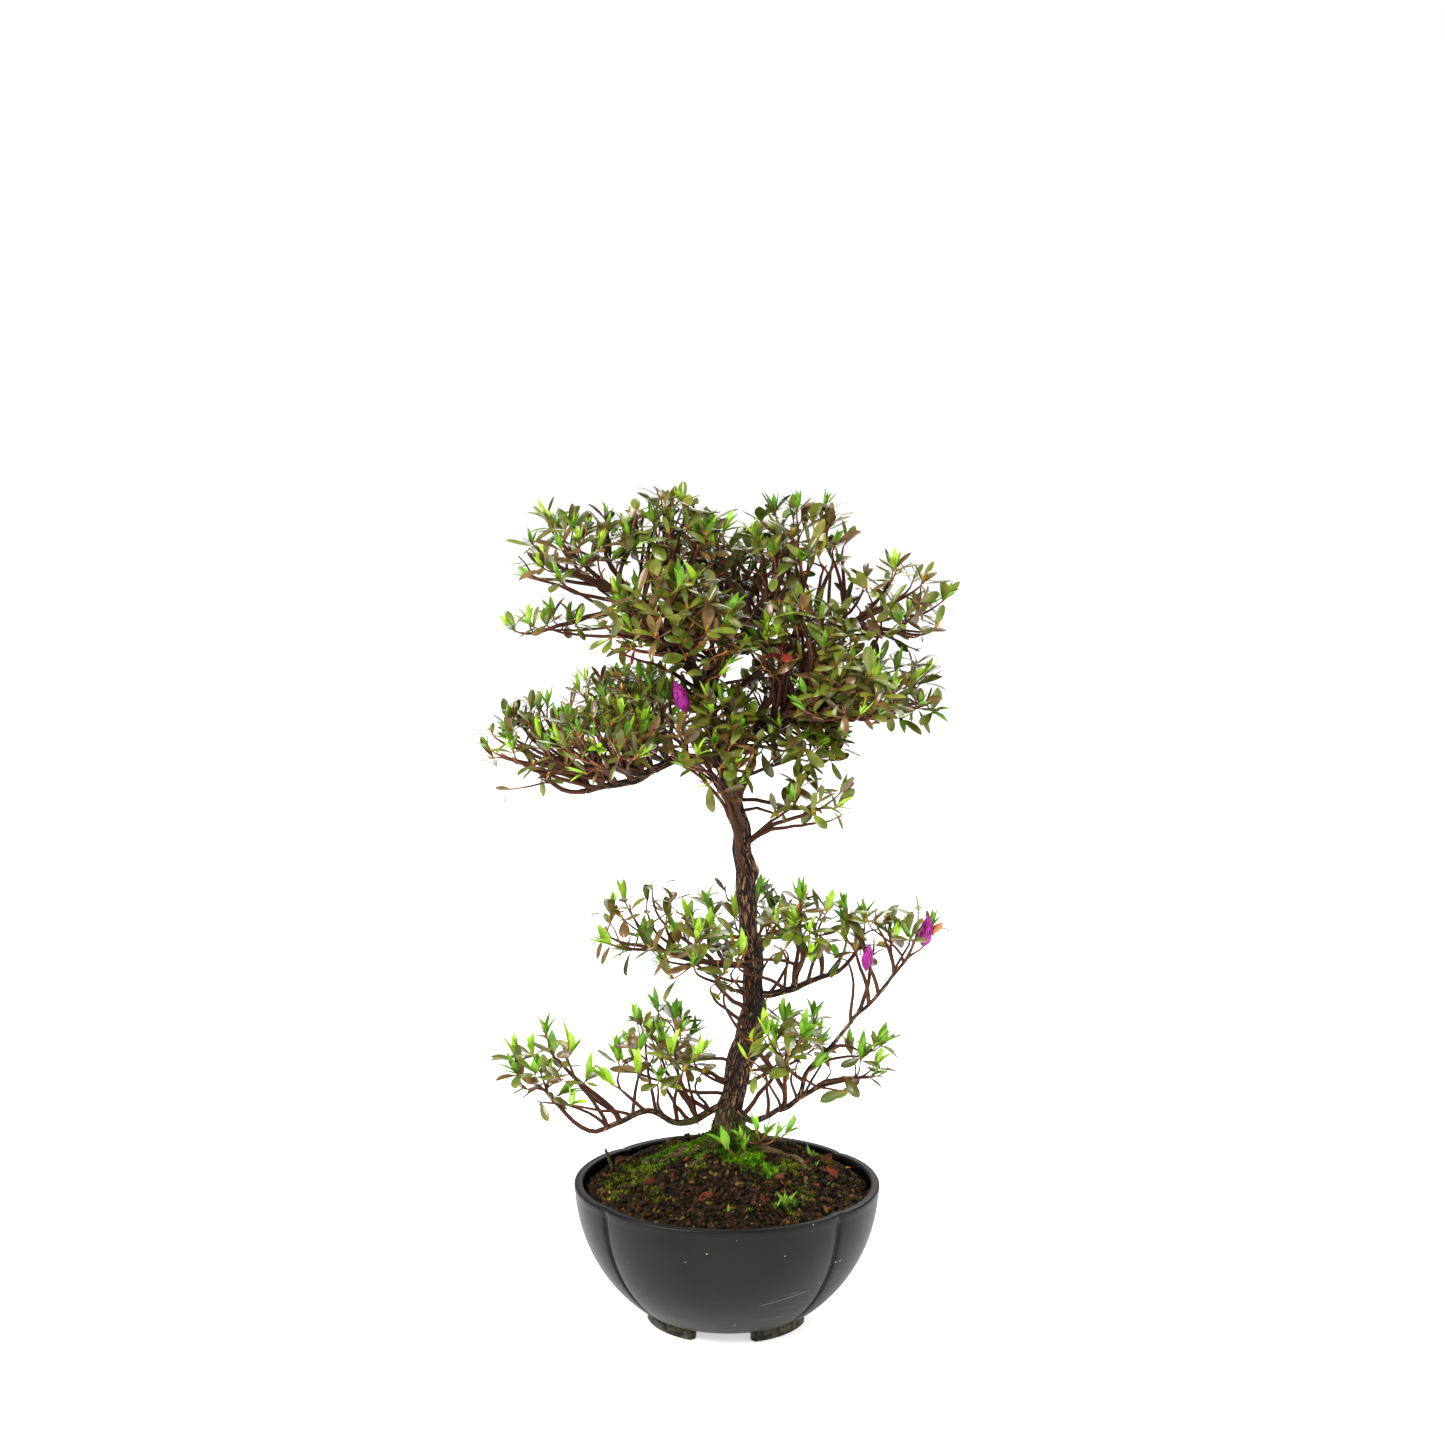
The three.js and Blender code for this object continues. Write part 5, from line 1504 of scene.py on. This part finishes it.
def kept_leaves(rows):
    """Leaves that keep to their mass's reach and clear of the limbs and buds."""
    tips = np.array([root + way * long for root, way, _, long, _, _ in rows])
    roots = np.array([row[0] for row in rows])
    clear = ~touches(roots + (tips - roots) * 0.25, tips, LEAF_GAP)
    clear &= tips[:, 2] > soil_height(tips) + LEAF_ABOVE_SOIL
    clear &= ~near_bud(tips) & ~near_bud((roots + tips) / 2)
    clear |= np.array([row[5] is None for row in rows])
    for k, row in enumerate(rows):
        mass = row[5]
        if mass is not None:
            clear[k] &= np.linalg.norm((tips[k] - mass["at"]) / (mass["half"] + OVER)) <= 1.0
    return [row for row, ok in zip(rows, clear) if ok]


def leaf_piece(name, rows, shapes, finish):
    roots, ways, ups = (np.array([row[k] for row in rows]) for k in range(3))
    sizes = np.array([row[3] for row in rows]) * MM
    kinds = np.array([row[4] for row in rows], dtype=np.int32)
    marks = {"way": ways, "up": ups, "size": sizes, "shape": kinds}
    source = plain_object(name + " spots", roots, [], **marks)
    return grown(name, source, leaf_rule, finish, Shapes=shapes)


leaf_pieces = []
for tint, rows in leaves.items():
    rows = kept_leaves(rows)
    old = tint in OLD_TINTS or tint in ("leaf_tan", "petal_dry")
    piece = leaf_piece(tint, rows, old_shapes if old else young_shapes, TINTS[tint])
    leaf_pieces.append(piece)
    print(tint, len(rows), "leaves", triangles(piece), "triangles")

# %% [markdown]
# ## Flower buds
#
# Four buds are about to open. Their petals are still furled round each other like an umbrella, so
# each is one plump body whose surface steps down at five edges that wind up to the point,
# held by small green sepals. The same tube helper as for the limbs makes it, with the furl
# as its relief.


# %% Furled petals
BUD_LONG, BUD_THICK = 19.5, 4.0
BUD_SIZES = {"crown_top": 0.55, "mid_right": 0.7, "bud_spray": 0.88, "centre_front": 0.88}
PLUMP = [
    (0, 0.3), (0.06, 0.56), (0.2, 0.86), (0.38, 1), (0.58, 0.88), (0.76, 0.58), (0.9, 0.28),
    (1, 0.04),
]  # share of the length, share of the thickness


def furl(spots, bark, reach, turns):
    """Petals furled round each other: five edges that wind up to the point."""
    share = bark[..., 2] / BUD_LONG
    wound = np.mod(5 * turns / (2 * math.pi) + 1.5 * share, 1.0)
    return reach * (1 + 0.34 * (wound - 0.5) * np.clip(share * 5, 0, 1))


bodies = []
for twig in bud_twigs:
    foot, axis = bud_seat(twig)
    name = twig["mass"]["name"]
    size = BUD_SIZES[name]
    steps = np.linspace(0, 1, 40)
    lean = np.array([0.5, 0.0, 0.0]) * steps[:, None] ** 2
    spots = foot + axis * (steps[:, None] * BUD_LONG * size - 0.5) + lean
    radii = np.interp(steps, *zip(*PLUMP)) * BUD_THICK * size
    bodies.append(tube(spots, radii, 60, furl))
    whorl(foot, axis, "sepal", 6, (5, 6.5), (14, 30), YOUNG, None, back=0.2)
    if name == "bud_spray":
        way = unit((0.55, -0.1, 1))
        add_leaf("withered", foot + axis * 3, way, np.array([-1.0, -0.4, 0.2]), 13.0, 4)
        add_leaf("withered", foot + axis * 4, unit((0.8, 0, 0.6)), np.array([0, -1.0, 0]), 9.0, 1)
points, faces, marks = joined(bodies)
petals = plain_object("flower_buds", points, faces, bark=marks)
petal_finish = Finish("petal", Roughness=0.45, Specular_IOR_Level=0.35)
along = petal_finish.stretched(petal_finish.mark("bark", "Vector"), (1, 1, 0.08))
veins = petal_finish.noise(2.0, 3, along)
magenta = petal_finish.mix(veins.between(0.4, 0.6), rgb(84, 2, 70), rgb(184, 28, 154))
petal_finish.put(Base_Color=magenta)
petal_finish.bump(veins, 0.5)
smooth(petals, petal_finish)
sepal_finish = leaf_finish("sepal", rgb(96, 128, 40), rgb(140, 150, 60), 0.5, 0.1)
withered_finish = leaf_finish("withered petal", rgb(160, 84, 42), rgb(206, 142, 84), 0.6, 0.0)
sepals = leaf_piece("sepals", leaves["sepal"], young_shapes, sepal_finish)
withered = leaf_piece("withered_petals", leaves["withered"], old_shapes, withered_finish)
print("buds", len(bodies), triangles(petals), "triangles")

# %% [markdown]
# ## Pot
#
# The pot is moulded charcoal plastic: an oval bowl pinched in by four grooves into four lobes,
# with a plain rounded lip and four low feet under the grooves. It is one closed skin over
# rings of points, up the outside, over the lip and down the inside, fine enough that the
# soft grooves need no texture.


# %% Skin over rings, pot and feet
def skin(rings):
    """Closed skin over rings of points; a ring of one point is a pole."""
    points, faces, first = np.vstack(rings), [], 0
    for ring, after in zip(rings, rings[1:]):
        a, b = len(ring), len(after)
        low, high = first, first + a
        count = max(a, b)
        for k in range(count):
            following = (k + 1) % count
            if a == 1:
                faces.append((low, high + following, high + k))
            elif b == 1:
                faces.append((low + k, low + following, high))
            else:
                faces.append((low + k, low + following, high + following, high + k))
        first += a
    return points, faces


at_grooves = [side * POT["groove"] + half for side in (-1, 1) for half in (0, 180)]
AROUND = [np.linspace(0, 360, 361)[:-1]]
AROUND += [np.mod(middle + np.linspace(-3, 3, 41), 360) for middle in at_grooves]
AROUND = np.unique(np.round(np.concatenate(AROUND), 3))
CHANNEL = {"half": 1.25, "soft": 0.35, "deep": 1.15, "ends": 4.5}


def grooved_ring(z, inset, scale=None):
    """A ring of the outer wall, with the narrow channel that runs down each groove."""
    ring = pot_ring(z, inset, AROUND, scale)
    folded = 90 - np.abs(np.mod(AROUND, 180) - 90)
    across = np.abs(folded - POT["groove"])
    channel = 1 / (1 + np.exp((across - CHANNEL["half"]) / CHANNEL["soft"] * 3))
    channel = channel * np.clip((POT["height"] - CHANNEL["ends"] - z) / 2, 0, 1)
    outward = unit(ring * (1, 1, 0))
    return ring - outward * (channel * CHANNEL["deep"])[:, None], channel


LIP = {"round": 1.3, "proud": 0.3, "tall": 4}
SIDE_RINGS, INNER_RINGS = 60, (70, 66, 60, 50, 38, 26, 15)
top, base = POT["height"], POT["base"]
quarter = np.radians(np.linspace(0, 90, 6))
outer = [pot_ring(base, 2.2, AROUND), pot_ring(base + 0.35, 0.8, AROUND)]
channels = [np.zeros(len(AROUND)), np.zeros(len(AROUND))]
for z in base + (top - base - LIP["round"]) * np.linspace(0.03, 1, SIDE_RINGS):
    band = LIP["proud"] * np.clip((z - top + LIP["tall"]) / 0.6, 0, 1)
    ring, channel = grooved_ring(z, -band)
    outer.append(ring)
    channels.append(channel)
insets = [(a, LIP["round"] * (1 - math.cos(a)) - LIP["proud"]) for a in quarter[1:]]
insets += [(a, POT["lip"] - LIP["round"] * (1 - math.cos(a))) for a in quarter[::-1]]
for a, inset in insets:
    outer.append(pot_ring(top - LIP["round"] * (1 - math.sin(a)), inset, AROUND, 1))
inner = [pot_ring(top - POT["lip_height"], POT["lip"], AROUND, 1)]
inner += [pot_ring(z, POT["wall"], AROUND) for z in INNER_RINGS]
inner_floor = base + POT["floor"]
inner.append(pot_ring(inner_floor, POT["wall"] + POT["cove"], AROUND))
poles = [np.array([[0, 0, base]]), np.array([[0, 0, inner_floor]])]
points, faces = skin([poles[0], *outer, *inner, poles[1]])
plain = np.zeros(len(AROUND) * (len(outer) + len(inner) - len(channels)))
# How deep each point lies in a groove's channel, kept as the mark groove, which darkens the plastic
# there as painted shade.
groove_shade = np.concatenate([[0], *channels, plain, [0]])

FOOT = {"outer": 0.535, "inner": 0.44, "from": 22, "to": 78, "sunk": 1.0, "round": 0.9}
foot_parts = [(points, faces, groove_shade)]
for quarter_turn in range(4):
    mirror = 1 if quarter_turn % 2 == 0 else -1
    back = 0 if quarter_turn < 2 else 180
    rings = []
    for share in np.linspace(0, 1, 40):
        angle = math.radians(back + mirror * (FOOT["from"] + (FOOT["to"] - FOOT["from"]) * share))
        near = min(share, 1 - share) * 40 / 2.2
        draw = 0.03 * (1 - math.sqrt(max(0, 1 - (1 - min(1, near)) ** 2)))
        soft = FOOT["round"] * (1 + draw * 8) / POT["half_width"]
        low, high = FOOT["inner"] + draw, FOOT["outer"] - draw
        roof, lift = base + FOOT["sunk"], FOOT["round"]
        corners = [
            (low + soft, 0), (high - soft, 0), (high - soft * 0.3, lift * 0.3), (high, lift),
            (high, roof), (low, roof), (low, lift), (low + soft * 0.3, lift * 0.3),
        ]
        ring = []
        for scale, z in corners:
            x = math.sin(angle) * POT["half_width"] * scale
            y = -math.cos(angle) * POT["half_depth"] * scale
            ring.append((*with_pot(x, y), z))
        rings.append(np.array(ring[::-1] if mirror > 0 else ring))
    caps = [rings[0].mean(0)[None], rings[-1].mean(0)[None]]
    points, faces = skin([caps[0], *rings, caps[1]])
    foot_parts.append((points, faces, np.zeros(len(points))))
points, faces, marks = joined(foot_parts)
pot_piece = plain_object("oval_pot", points, faces, groove=marks)

pot_finish = Finish("charcoal plastic", Specular_IOR_Level=0.165)
broad = pot_finish.noise(28, 3)
fine = pot_finish.noise(420, 4)
plastic = pot_finish.mix(broad.between(0.35, 0.65), rgb(10, 9, 9), rgb(19, 16, 16))
# Painted shade: the plastic is darkened a little down each groove's channel.
plastic = pot_finish.mix(pot_finish.mark("groove") * 0.6, plastic, rgb(12, 12, 12))
specks = pot_finish.cells(300).between(0.14, 0.08) * pot_finish.noise(60, 2).between(0.6, 0.68)
plastic = pot_finish.mix(specks, plastic, rgb(168, 158, 132))
swirl = pot_finish.noise(34, 2, pot_finish.stretched(pot_finish.place, (0.35, 0.35, 2.6)))
scuffs = swirl.math("ABSOLUTE", swirl - 0.5).between(0.004, 0.0005)
scuffs = scuffs * pot_finish.noise(14, 2).between(0.58, 0.66)
plastic = pot_finish.mix(scuffs * 0.16, plastic, rgb(120, 118, 116))
wide, deep, height = (pot_finish.axis(letter) for letter in "XYZ")
front = deep.between(-0.03, -0.04)
rising = height - (wide - 0.0217) * 0.2
line = rising.math("ABSOLUTE", rising - 0.030)
scratch = line.between(0.0004, 0.0001) * wide.between(0.020, 0.024) * wide.between(0.047, 0.042)
plastic = pot_finish.mix(scratch * front * 0.22, plastic, rgb(150, 146, 140))
dust = height.between(0.013, 0.003) * pot_finish.noise(260, 4).between(0.4, 0.62)
pot_finish.put(Base_Color=pot_finish.mix(dust * 0.8, plastic, rgb(84, 80, 62)))
pot_finish.put(Roughness=broad * 0.16 + fine * 0.1 + dust * 0.3 + 0.28)
pot_finish.bump(fine, 0.06)
smooth(pot_piece, pot_finish)
print("pot", triangles(pot_piece), "triangles")

# %% [markdown]
# ## Soil, moss and litter
#
# The ground is dark brown potting soil with bark chips and old red-brown leaves, mossy round the
# trunk and over the root on the left. The surface is a grid of rays and rings; a mark on its
# points says how much moss grows there, and Geometry Nodes scatter chips, grit, leaves and
# tufts of moss by such marks. Painting these with a texture would leave a flat brown
# disc, which shows at once from above.

# %% Ground surface
RAYS, RINGS = 300, 84
angles = np.linspace(0, 2 * math.pi, RAYS, endpoint=False)
edge = np.interp(angles, *edge_rays, period=2 * math.pi)
directions = np.stack([np.cos(angles), np.sin(angles)], 1)
rings = []
for share in np.linspace(0, 1, RINGS)[1:][::-1]:
    flat = mounds + directions * (edge * share)[:, None]
    flat = np.concatenate([flat, np.zeros((RAYS, 1))], 1)
    flat[:, 2] = ground(flat)
    rings.append(flat)
crest = np.array([[*mounds, ground(np.array([[*mounds, 0]]))[0]]])
SOIL_FLOOR = 9.9
under = []
for z in (SOIL_FLOOR, 15, 26, 40, 57):
    inset = SOIL_INSET + (POT["cove"] if z == SOIL_FLOOR else 0)
    reach = np.interp(angles, *wall_rays(z, inset), period=2 * math.pi)
    under.append(np.column_stack([mounds + directions * reach[:, None], np.full(RAYS, z)]))
points, faces = skin([np.array([[*mounds, SOIL_FLOOR]]), *under, *rings, crest])

MOSS = {
    "bright": [
        ((5, -6), 7), ((14, -11), 8), ((23, -17), 7), ((6, -1), 8), ((-12, 5), 7),
        ((-22, 3), 6), ((-32, 2), 6), ((-42, 1), 6), ((-14, 10), 6), ((14, 3), 6),
    ],
    "olive": [
        ((-56, 2), 13), ((-44, -8), 10), ((-30, 14), 9), ((1, 14), 20), ((-56, -18), 8),
        ((30, -44), 6), ((50, 22), 11), ((22, 40), 13), ((-30, 42), 13), ((38, -30), 8),
        ((-16, -14), 7), ((34, -8), 9), ((-36, -30), 6),
    ],
}  # middle and spread of each patch


def moss_at(kind, spots, seed):
    """How much moss grows at each place, from 0 to 1."""
    amount = 0
    for (x, y), spread in MOSS[kind]:
        away = np.hypot(spots[..., 0] - x, spots[..., 1] - y)
        amount = amount + np.exp(-((away / spread) ** 2))
    return np.clip(amount * 1.5 + grain(spots, 6, seed) * 0.5 - 0.42, 0, 1)


surface = np.zeros(len(points))
first_top = 1 + len(under) * RAYS
surface[first_top + RAYS :] = 1
bright = moss_at("bright", points, 31) * surface
olive = moss_at("olive", points, 32) * surface
bare = surface * np.clip(1.1 - bright - olive * 0.7, 0, 1)
from_edge = np.repeat(np.linspace(0, 1, RINGS)[1:], RAYS)
from_edge = np.concatenate([np.zeros(first_top), from_edge, [0]])
marks = {"bright": bright, "olive": olive, "bare": bare}
marks["open"] = bare * np.clip((from_edge - 0.12) * 20, 0, 1)
soil_piece = plain_object("potting_soil", points, faces, **marks)

soil_finish = Finish("potting soil", Roughness=0.92, Specular_IOR_Level=0.1)
crumbs = soil_finish.noise(700, 5)
clods = soil_finish.noise(160, 3)
earth = soil_finish.mix(crumbs.between(0.35, 0.7), rgb(14, 9, 4), rgb(52, 38, 18))
earth = soil_finish.mix(clods.between(0.45, 0.75), earth, rgb(28, 20, 10))
green = (soil_finish.mark("bright") + soil_finish.mark("olive")).between(0.1, 0.8)
soil_finish.put(Base_Color=soil_finish.mix(green * 0.8, earth, rgb(58, 66, 18)))
soil_finish.bump(crumbs + clods, 1.0)
smooth(soil_piece, soil_finish)
print("soil", triangles(soil_piece), "triangles")

# %% Chips, grit, old leaves and moss
scatter = Rule(
    "scatter", Mask="String", Density="Float", Seed="Int", Tilt="Float", Least="Float",
    Most="Float", Shapes="Collection", Finish="Material",
)
mask = scatter.mark(scatter.given("Mask"))
sockets = {"Mesh": scatter.given("Geometry"), "Density": mask * scatter.given("Density")}
sockets["Seed"] = scatter.given("Seed")
spread = scatter.node("GeometryNodeDistributePointsOnFaces", None, sockets)
upright = Value(scatter, spread.socket.node.outputs["Rotation"])
tilt = scatter.given("Tilt")
least = scatter.node("ShaderNodeCombineXYZ", None, {0: 0.0 - tilt, 1: 0.0 - tilt, 2: 0.0})
most = scatter.node("ShaderNodeCombineXYZ", None, {0: tilt, 1: tilt, 2: 6.283})
settings = {"data_type": "FLOAT_VECTOR"}
turns = scatter.node("FunctionNodeRandomValue", settings, {0: least, 1: most, "Seed": 5})
turns = scatter.node("FunctionNodeEulerToRotation", None, {0: turns})
settings = {"rotation_space": "LOCAL"}
turned = scatter.node("FunctionNodeRotateRotation", settings, {0: upright, 1: turns})
settings = {"data_type": "FLOAT"}
sizes = {0: scatter.given("Least"), 1: scatter.given("Most"), "Seed": 6}
size = scatter.node("FunctionNodeRandomValue", settings, sizes)
which = scatter.node("FunctionNodeRandomValue", {"data_type": "INT"}, {0: 0, 1: 20, "Seed": 7})
sockets = {"Collection": scatter.given("Shapes"), "Separate Children": True}
shapes = scatter.node("GeometryNodeCollectionInfo", None, {**sockets, "Reset Children": True})
sockets = {"Points": spread, "Instance": shapes, "Pick Instance": True}
sockets.update({"Instance Index": which, "Rotation": turned, "Scale": size})
scatter.end(scatter.node("GeometryNodeInstanceOnPoints", None, sockets))


def flake(name, dice_seed, long, wide, thick, collection):
    """A chip one to a few units long: a ragged plate."""
    draw = np.random.default_rng(dice_seed)
    turns = np.linspace(0, 2 * math.pi, 7)[:-1] + draw.uniform(-0.3, 0.3, 6)
    reach = draw.uniform(0.7, 1.15, 6)
    rim = np.stack([np.cos(turns) * long * reach / 2, np.sin(turns) * wide * reach / 2], 1)
    low = np.column_stack([rim, draw.uniform(-0.1, 0.1, 6) * thick])
    high = rim * draw.uniform(0.75, 0.95, (6, 1))
    high = np.column_stack([high, thick * draw.uniform(0.7, 1.3, 6)])
    faces = [tuple(range(6))[::-1], tuple(range(6, 12))]
    faces += [(k, (k + 1) % 6, (k + 1) % 6 + 6, k + 6) for k in range(6)]
    shape_object(name, np.vstack([low, high]) * MM, faces, collection)


def moss_tuft(name, dice_seed, collection):
    """A tuft of eleven pointed blades, a unit or two tall."""
    draw = np.random.default_rng(dice_seed)
    points, faces = [], []
    for _ in range(11):
        x, y = draw.normal(0, 0.5, 2)
        turn, lean = draw.uniform(0, 6.28), draw.uniform(0.1, 0.7)
        tall, wide = draw.uniform(1.0, 1.9), draw.uniform(0.16, 0.26)
        across = np.array([math.cos(turn), math.sin(turn), 0]) * wide
        out = np.array([-math.sin(turn), math.cos(turn), 0]) * lean
        root = np.array([x, y, -0.3])
        tip = root + np.array([0, 0, tall]) + out
        middle = root + np.array([0, 0, tall * 0.6]) + out * 0.3
        first = len(points)
        points += [root - across, root + across, middle + across, middle - across, tip]
        faces += [(first, first + 1, first + 2, first + 3), (first + 3, first + 2, first + 4)]
    shape_object(name, np.array(points) * MM, faces, collection)


chips = bpy.data.collections.new("chips")
grit = bpy.data.collections.new("grit")
tufts = bpy.data.collections.new("moss tufts")
for k in range(5):
    flake(f"chip_{k}", 40 + k, 4.2 + k * 0.7, 2.6 + 0.5 * (k % 3), 0.7 + 0.15 * k, chips)
    flake(f"grit_{k}", 60 + k, 1.3, 1.1, 0.8, grit)
    moss_tuft(f"moss_{k}", 80 + k, tufts)
dead = bpy.data.collections.new("dead leaves")
for k, bend in enumerate((0.9, 0.5, -0.7)):
    leaf_shape(f"dead_{k}", BLADE, FIVE_ACROSS, bend, 0.9 - 0.4 * k, 0.6, 1.15, dead)


def ground_finish(name, dark, pale, roughness=0.85):
    made = Finish(name, Roughness=roughness, Specular_IOR_Level=0.12)
    made.put(Base_Color=made.mix(made.noise(260, 4).between(0.35, 0.65), dark, pale))
    made.bump(made.noise(1200, 3), 0.25)
    return made


def scattered(name, finish, source, *values):
    """A piece of small things strewn over a source by one of its marks."""
    titles = ("Shapes", "Mask", "Density", "Seed", "Tilt", "Least", "Most")
    return grown(name, source, scatter, finish, keep_source=True, **dict(zip(titles, values)))


# Moss that climbs the roots and the foot of the trunk
CLIMB = {"below": 105, "over": 7}
SKIRT = {"below": 106, "over": 8, "above": 88, "share": 0.35, "reach": 20}
bark_spots = np.array([vertex.co[:] for vertex in bark_piece.data.vertices]) / MM - ORIGIN / MM
bark_ups = np.array([vertex.normal.z for vertex in bark_piece.data.vertices])
low_wood = np.clip((CLIMB["below"] - bark_spots[:, 2]) / CLIMB["over"], 0, 1)
low_wood = low_wood * np.clip(bark_ups * 2 - 0.2, 0, 1)
ridge = moss_at("bright", bark_spots, 33) * low_wood
skirt = np.clip((SKIRT["below"] - bark_spots[:, 2]) / SKIRT["over"], 0, 1)
skirt = skirt * (bark_spots[:, 2] > SKIRT["above"]) * SKIRT["share"]
at_foot = np.linalg.norm(bark_spots[:, :2] - mounds, axis=1) < SKIRT["reach"]
ridge = np.maximum(ridge, skirt * at_foot)
bark_piece.data.attributes.new("ridge", "FLOAT", "POINT").data.foreach_set("value", ridge)
finish = ground_finish("root moss", rgb(48, 84, 8), rgb(112, 152, 26))
values = (tufts, "ridge", 620000.0, 9, 0.4, 0.7, 1.4)
root_moss = scattered("moss_on_roots", finish, bark_piece, *values)
bark_piece.data.attributes.remove(bark_piece.data.attributes["ridge"])
print("moss on the roots", triangles(root_moss), "triangles")

LITTER = [
    ("chips_dark", chips, "bare", 46000.0, 1, 0.8, 0.5, 1.35, rgb(16, 10, 5), rgb(56, 38, 20)),
    ("chips_brown", chips, "bare", 15000.0, 2, 0.9, 0.4, 1.2, rgb(52, 28, 14), rgb(104, 64, 34)),
    ("chips_olive", chips, "bare", 19000.0, 3, 0.9, 0.35, 1.1, rgb(42, 38, 13), rgb(98, 84, 36)),
    ("chips_pale", chips, "bare", 2200.0, 4, 0.6, 0.3, 0.75, rgb(150, 124, 80), rgb(190, 168, 120)),
    ("soil_grit", grit, "bare", 130000.0, 5, 0.9, 0.8, 2.6, rgb(11, 7, 3), rgb(46, 33, 17)),
    ("dead_leaves", dead, "open", 5200.0, 6, 0.7, 0.005, 0.011, rgb(50, 19, 10), rgb(100, 48, 27)),
    ("moss_bright", tufts, "bright", 460000.0, 7, 0.45, 0.8, 1.7, rgb(46, 90, 8), rgb(112, 164, 24)),
    ("moss_olive", tufts, "olive", 320000.0, 8, 0.45, 0.7, 1.7, rgb(50, 58, 10), rgb(116, 122, 30)),
]  # name, shapes, mark, number on a square metre, dice, tilt, least and most size, colours
litter_pieces = []
for name, *values, dark, pale in LITTER:
    finish = ground_finish(name.replace("_", " "), dark, pale)
    litter_pieces.append(scattered(name, finish, soil_piece, *values))
    print(name, triangles(litter_pieces[-1]), "triangles")

# %% Seedlings, grass, a dead stick and odd bits
leaves.clear()


def on_ground(x, y, above=0.0):
    return np.array([x, y, ground(np.array([[x, y, 0.0]]))[0] + above])


SPROUTS = [
    (29.7, -42.7, 14, (6, 11), (4, 42)), (34, -41, 8, (5, 8), (8, 50)),
    (25, -45, 6, (4, 7), (8, 50)), (44.7, 12.4, 7, (5, 8), (20, 60)),
]  # place, number of blades, their length and how far they lean
SEEDLINGS = [(0.6, -46.8), (11.8, -48.4), (47, 2), (52, -14), (-52, 12), (-20, 44), (30, 46)]
SPROUTS += [(x, y, 3, (3, 5), (25, 65)) for x, y in SEEDLINGS]
for x, y, count, long, spread in SPROUTS:
    whorl(on_ground(x, y, 0.3), UP, "blade", count, long, spread, YOUNG, None, back=0.3)
for x, y, tint in ((-22.8, -44, "pink_bit"), (-31.6, -16, "tan_bit"), (62.5, 27, "tan_bit")):
    add_leaf(tint, on_ground(x, y, 0.8), unit((0.9, 0.3, 0.15)), UP, 5, 0)
blade_finish = leaf_finish("grass", rgb(84, 134, 32), rgb(128, 166, 52), 0.5, 0.1)
pink_finish = leaf_finish("fallen petal", rgb(150, 60, 60), rgb(190, 96, 90), 0.6, 0.0)
tan_finish = leaf_finish("fallen scale", rgb(190, 120, 50), rgb(214, 180, 130), 0.6, 0.0)
grass = leaf_piece("grass_and_seedlings", leaves["blade"], young_shapes, blade_finish)
pink_bits = leaf_piece("fallen_petals", leaves["pink_bit"], old_shapes, pink_finish)
tan_bits = leaf_piece("fallen_scales", leaves["tan_bit"], old_shapes, tan_finish)
STICK = {"at": (-60, 16.4, -2), "runs": (-4.5, -1.0, 14.0), "radius": (1.1, 0.7), "rings": 24}
steps = np.linspace(0, 1, STICK["rings"])[:, None]
stick_spots = on_ground(*STICK["at"]) + steps * np.array(STICK["runs"])
stick_radii = np.linspace(*STICK["radius"], STICK["rings"])
points, faces, marks = tube(stick_spots, stick_radii, 12, bough_relief)
stick = smooth(plain_object("dead_stick", points, faces, bark=marks), bark_finish)
print("small things", triangles(grass), triangles(stick))

# %% [markdown]
# ## What stands for what
#
# Every piece rides on the plant's one body. The bark mesh stands for the trunk and the boughs,
# the twigs and leaves stand for the masses of foliage, and the pot and soil for their own
# solids.

# %% Pieces ride on the body, their solids are hidden, and the shapes are cleared away
SLOTS = {
    "bark": [bark_piece, twig_piece, stick],
    "young_foliage": [shoot_piece, basal_piece, stalk_piece, sepals, grass],
    "blossom": [petals, withered, pink_bits],
    "pot_plastic": [pot_piece],
    "soil": [soil_piece, tan_bits],
}
for piece in leaf_pieces:
    slot = "young_foliage" if piece.name.startswith(("shoot", "bud")) else "foliage"
    SLOTS.setdefault("blossom" if piece.name == "petal_dry" else slot, []).append(piece)
for piece in [*litter_pieces, root_moss]:
    SLOTS.setdefault("moss" if piece.name.startswith("moss") else "soil", []).append(piece)
for slot_name, group in SLOTS.items():
    for piece in group:
        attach(piece, "root")
mass_names = [mass["name"] for mass in masses]
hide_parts("trunk", *[row[0] for row in BOUGHS])
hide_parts(*mass_names)
for piece in [shoot_piece, *leaf_pieces]:
    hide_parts(*mass_names)
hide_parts("pot")
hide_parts("soil")
for shapes in (old_shapes, young_shapes, chips, grit, tufts, dead):
    for spare in list(shapes.objects):
        bpy.data.objects.remove(spare)
    bpy.data.collections.remove(shapes)
everything = sum(triangles(piece) for group in SLOTS.values() for piece in group)
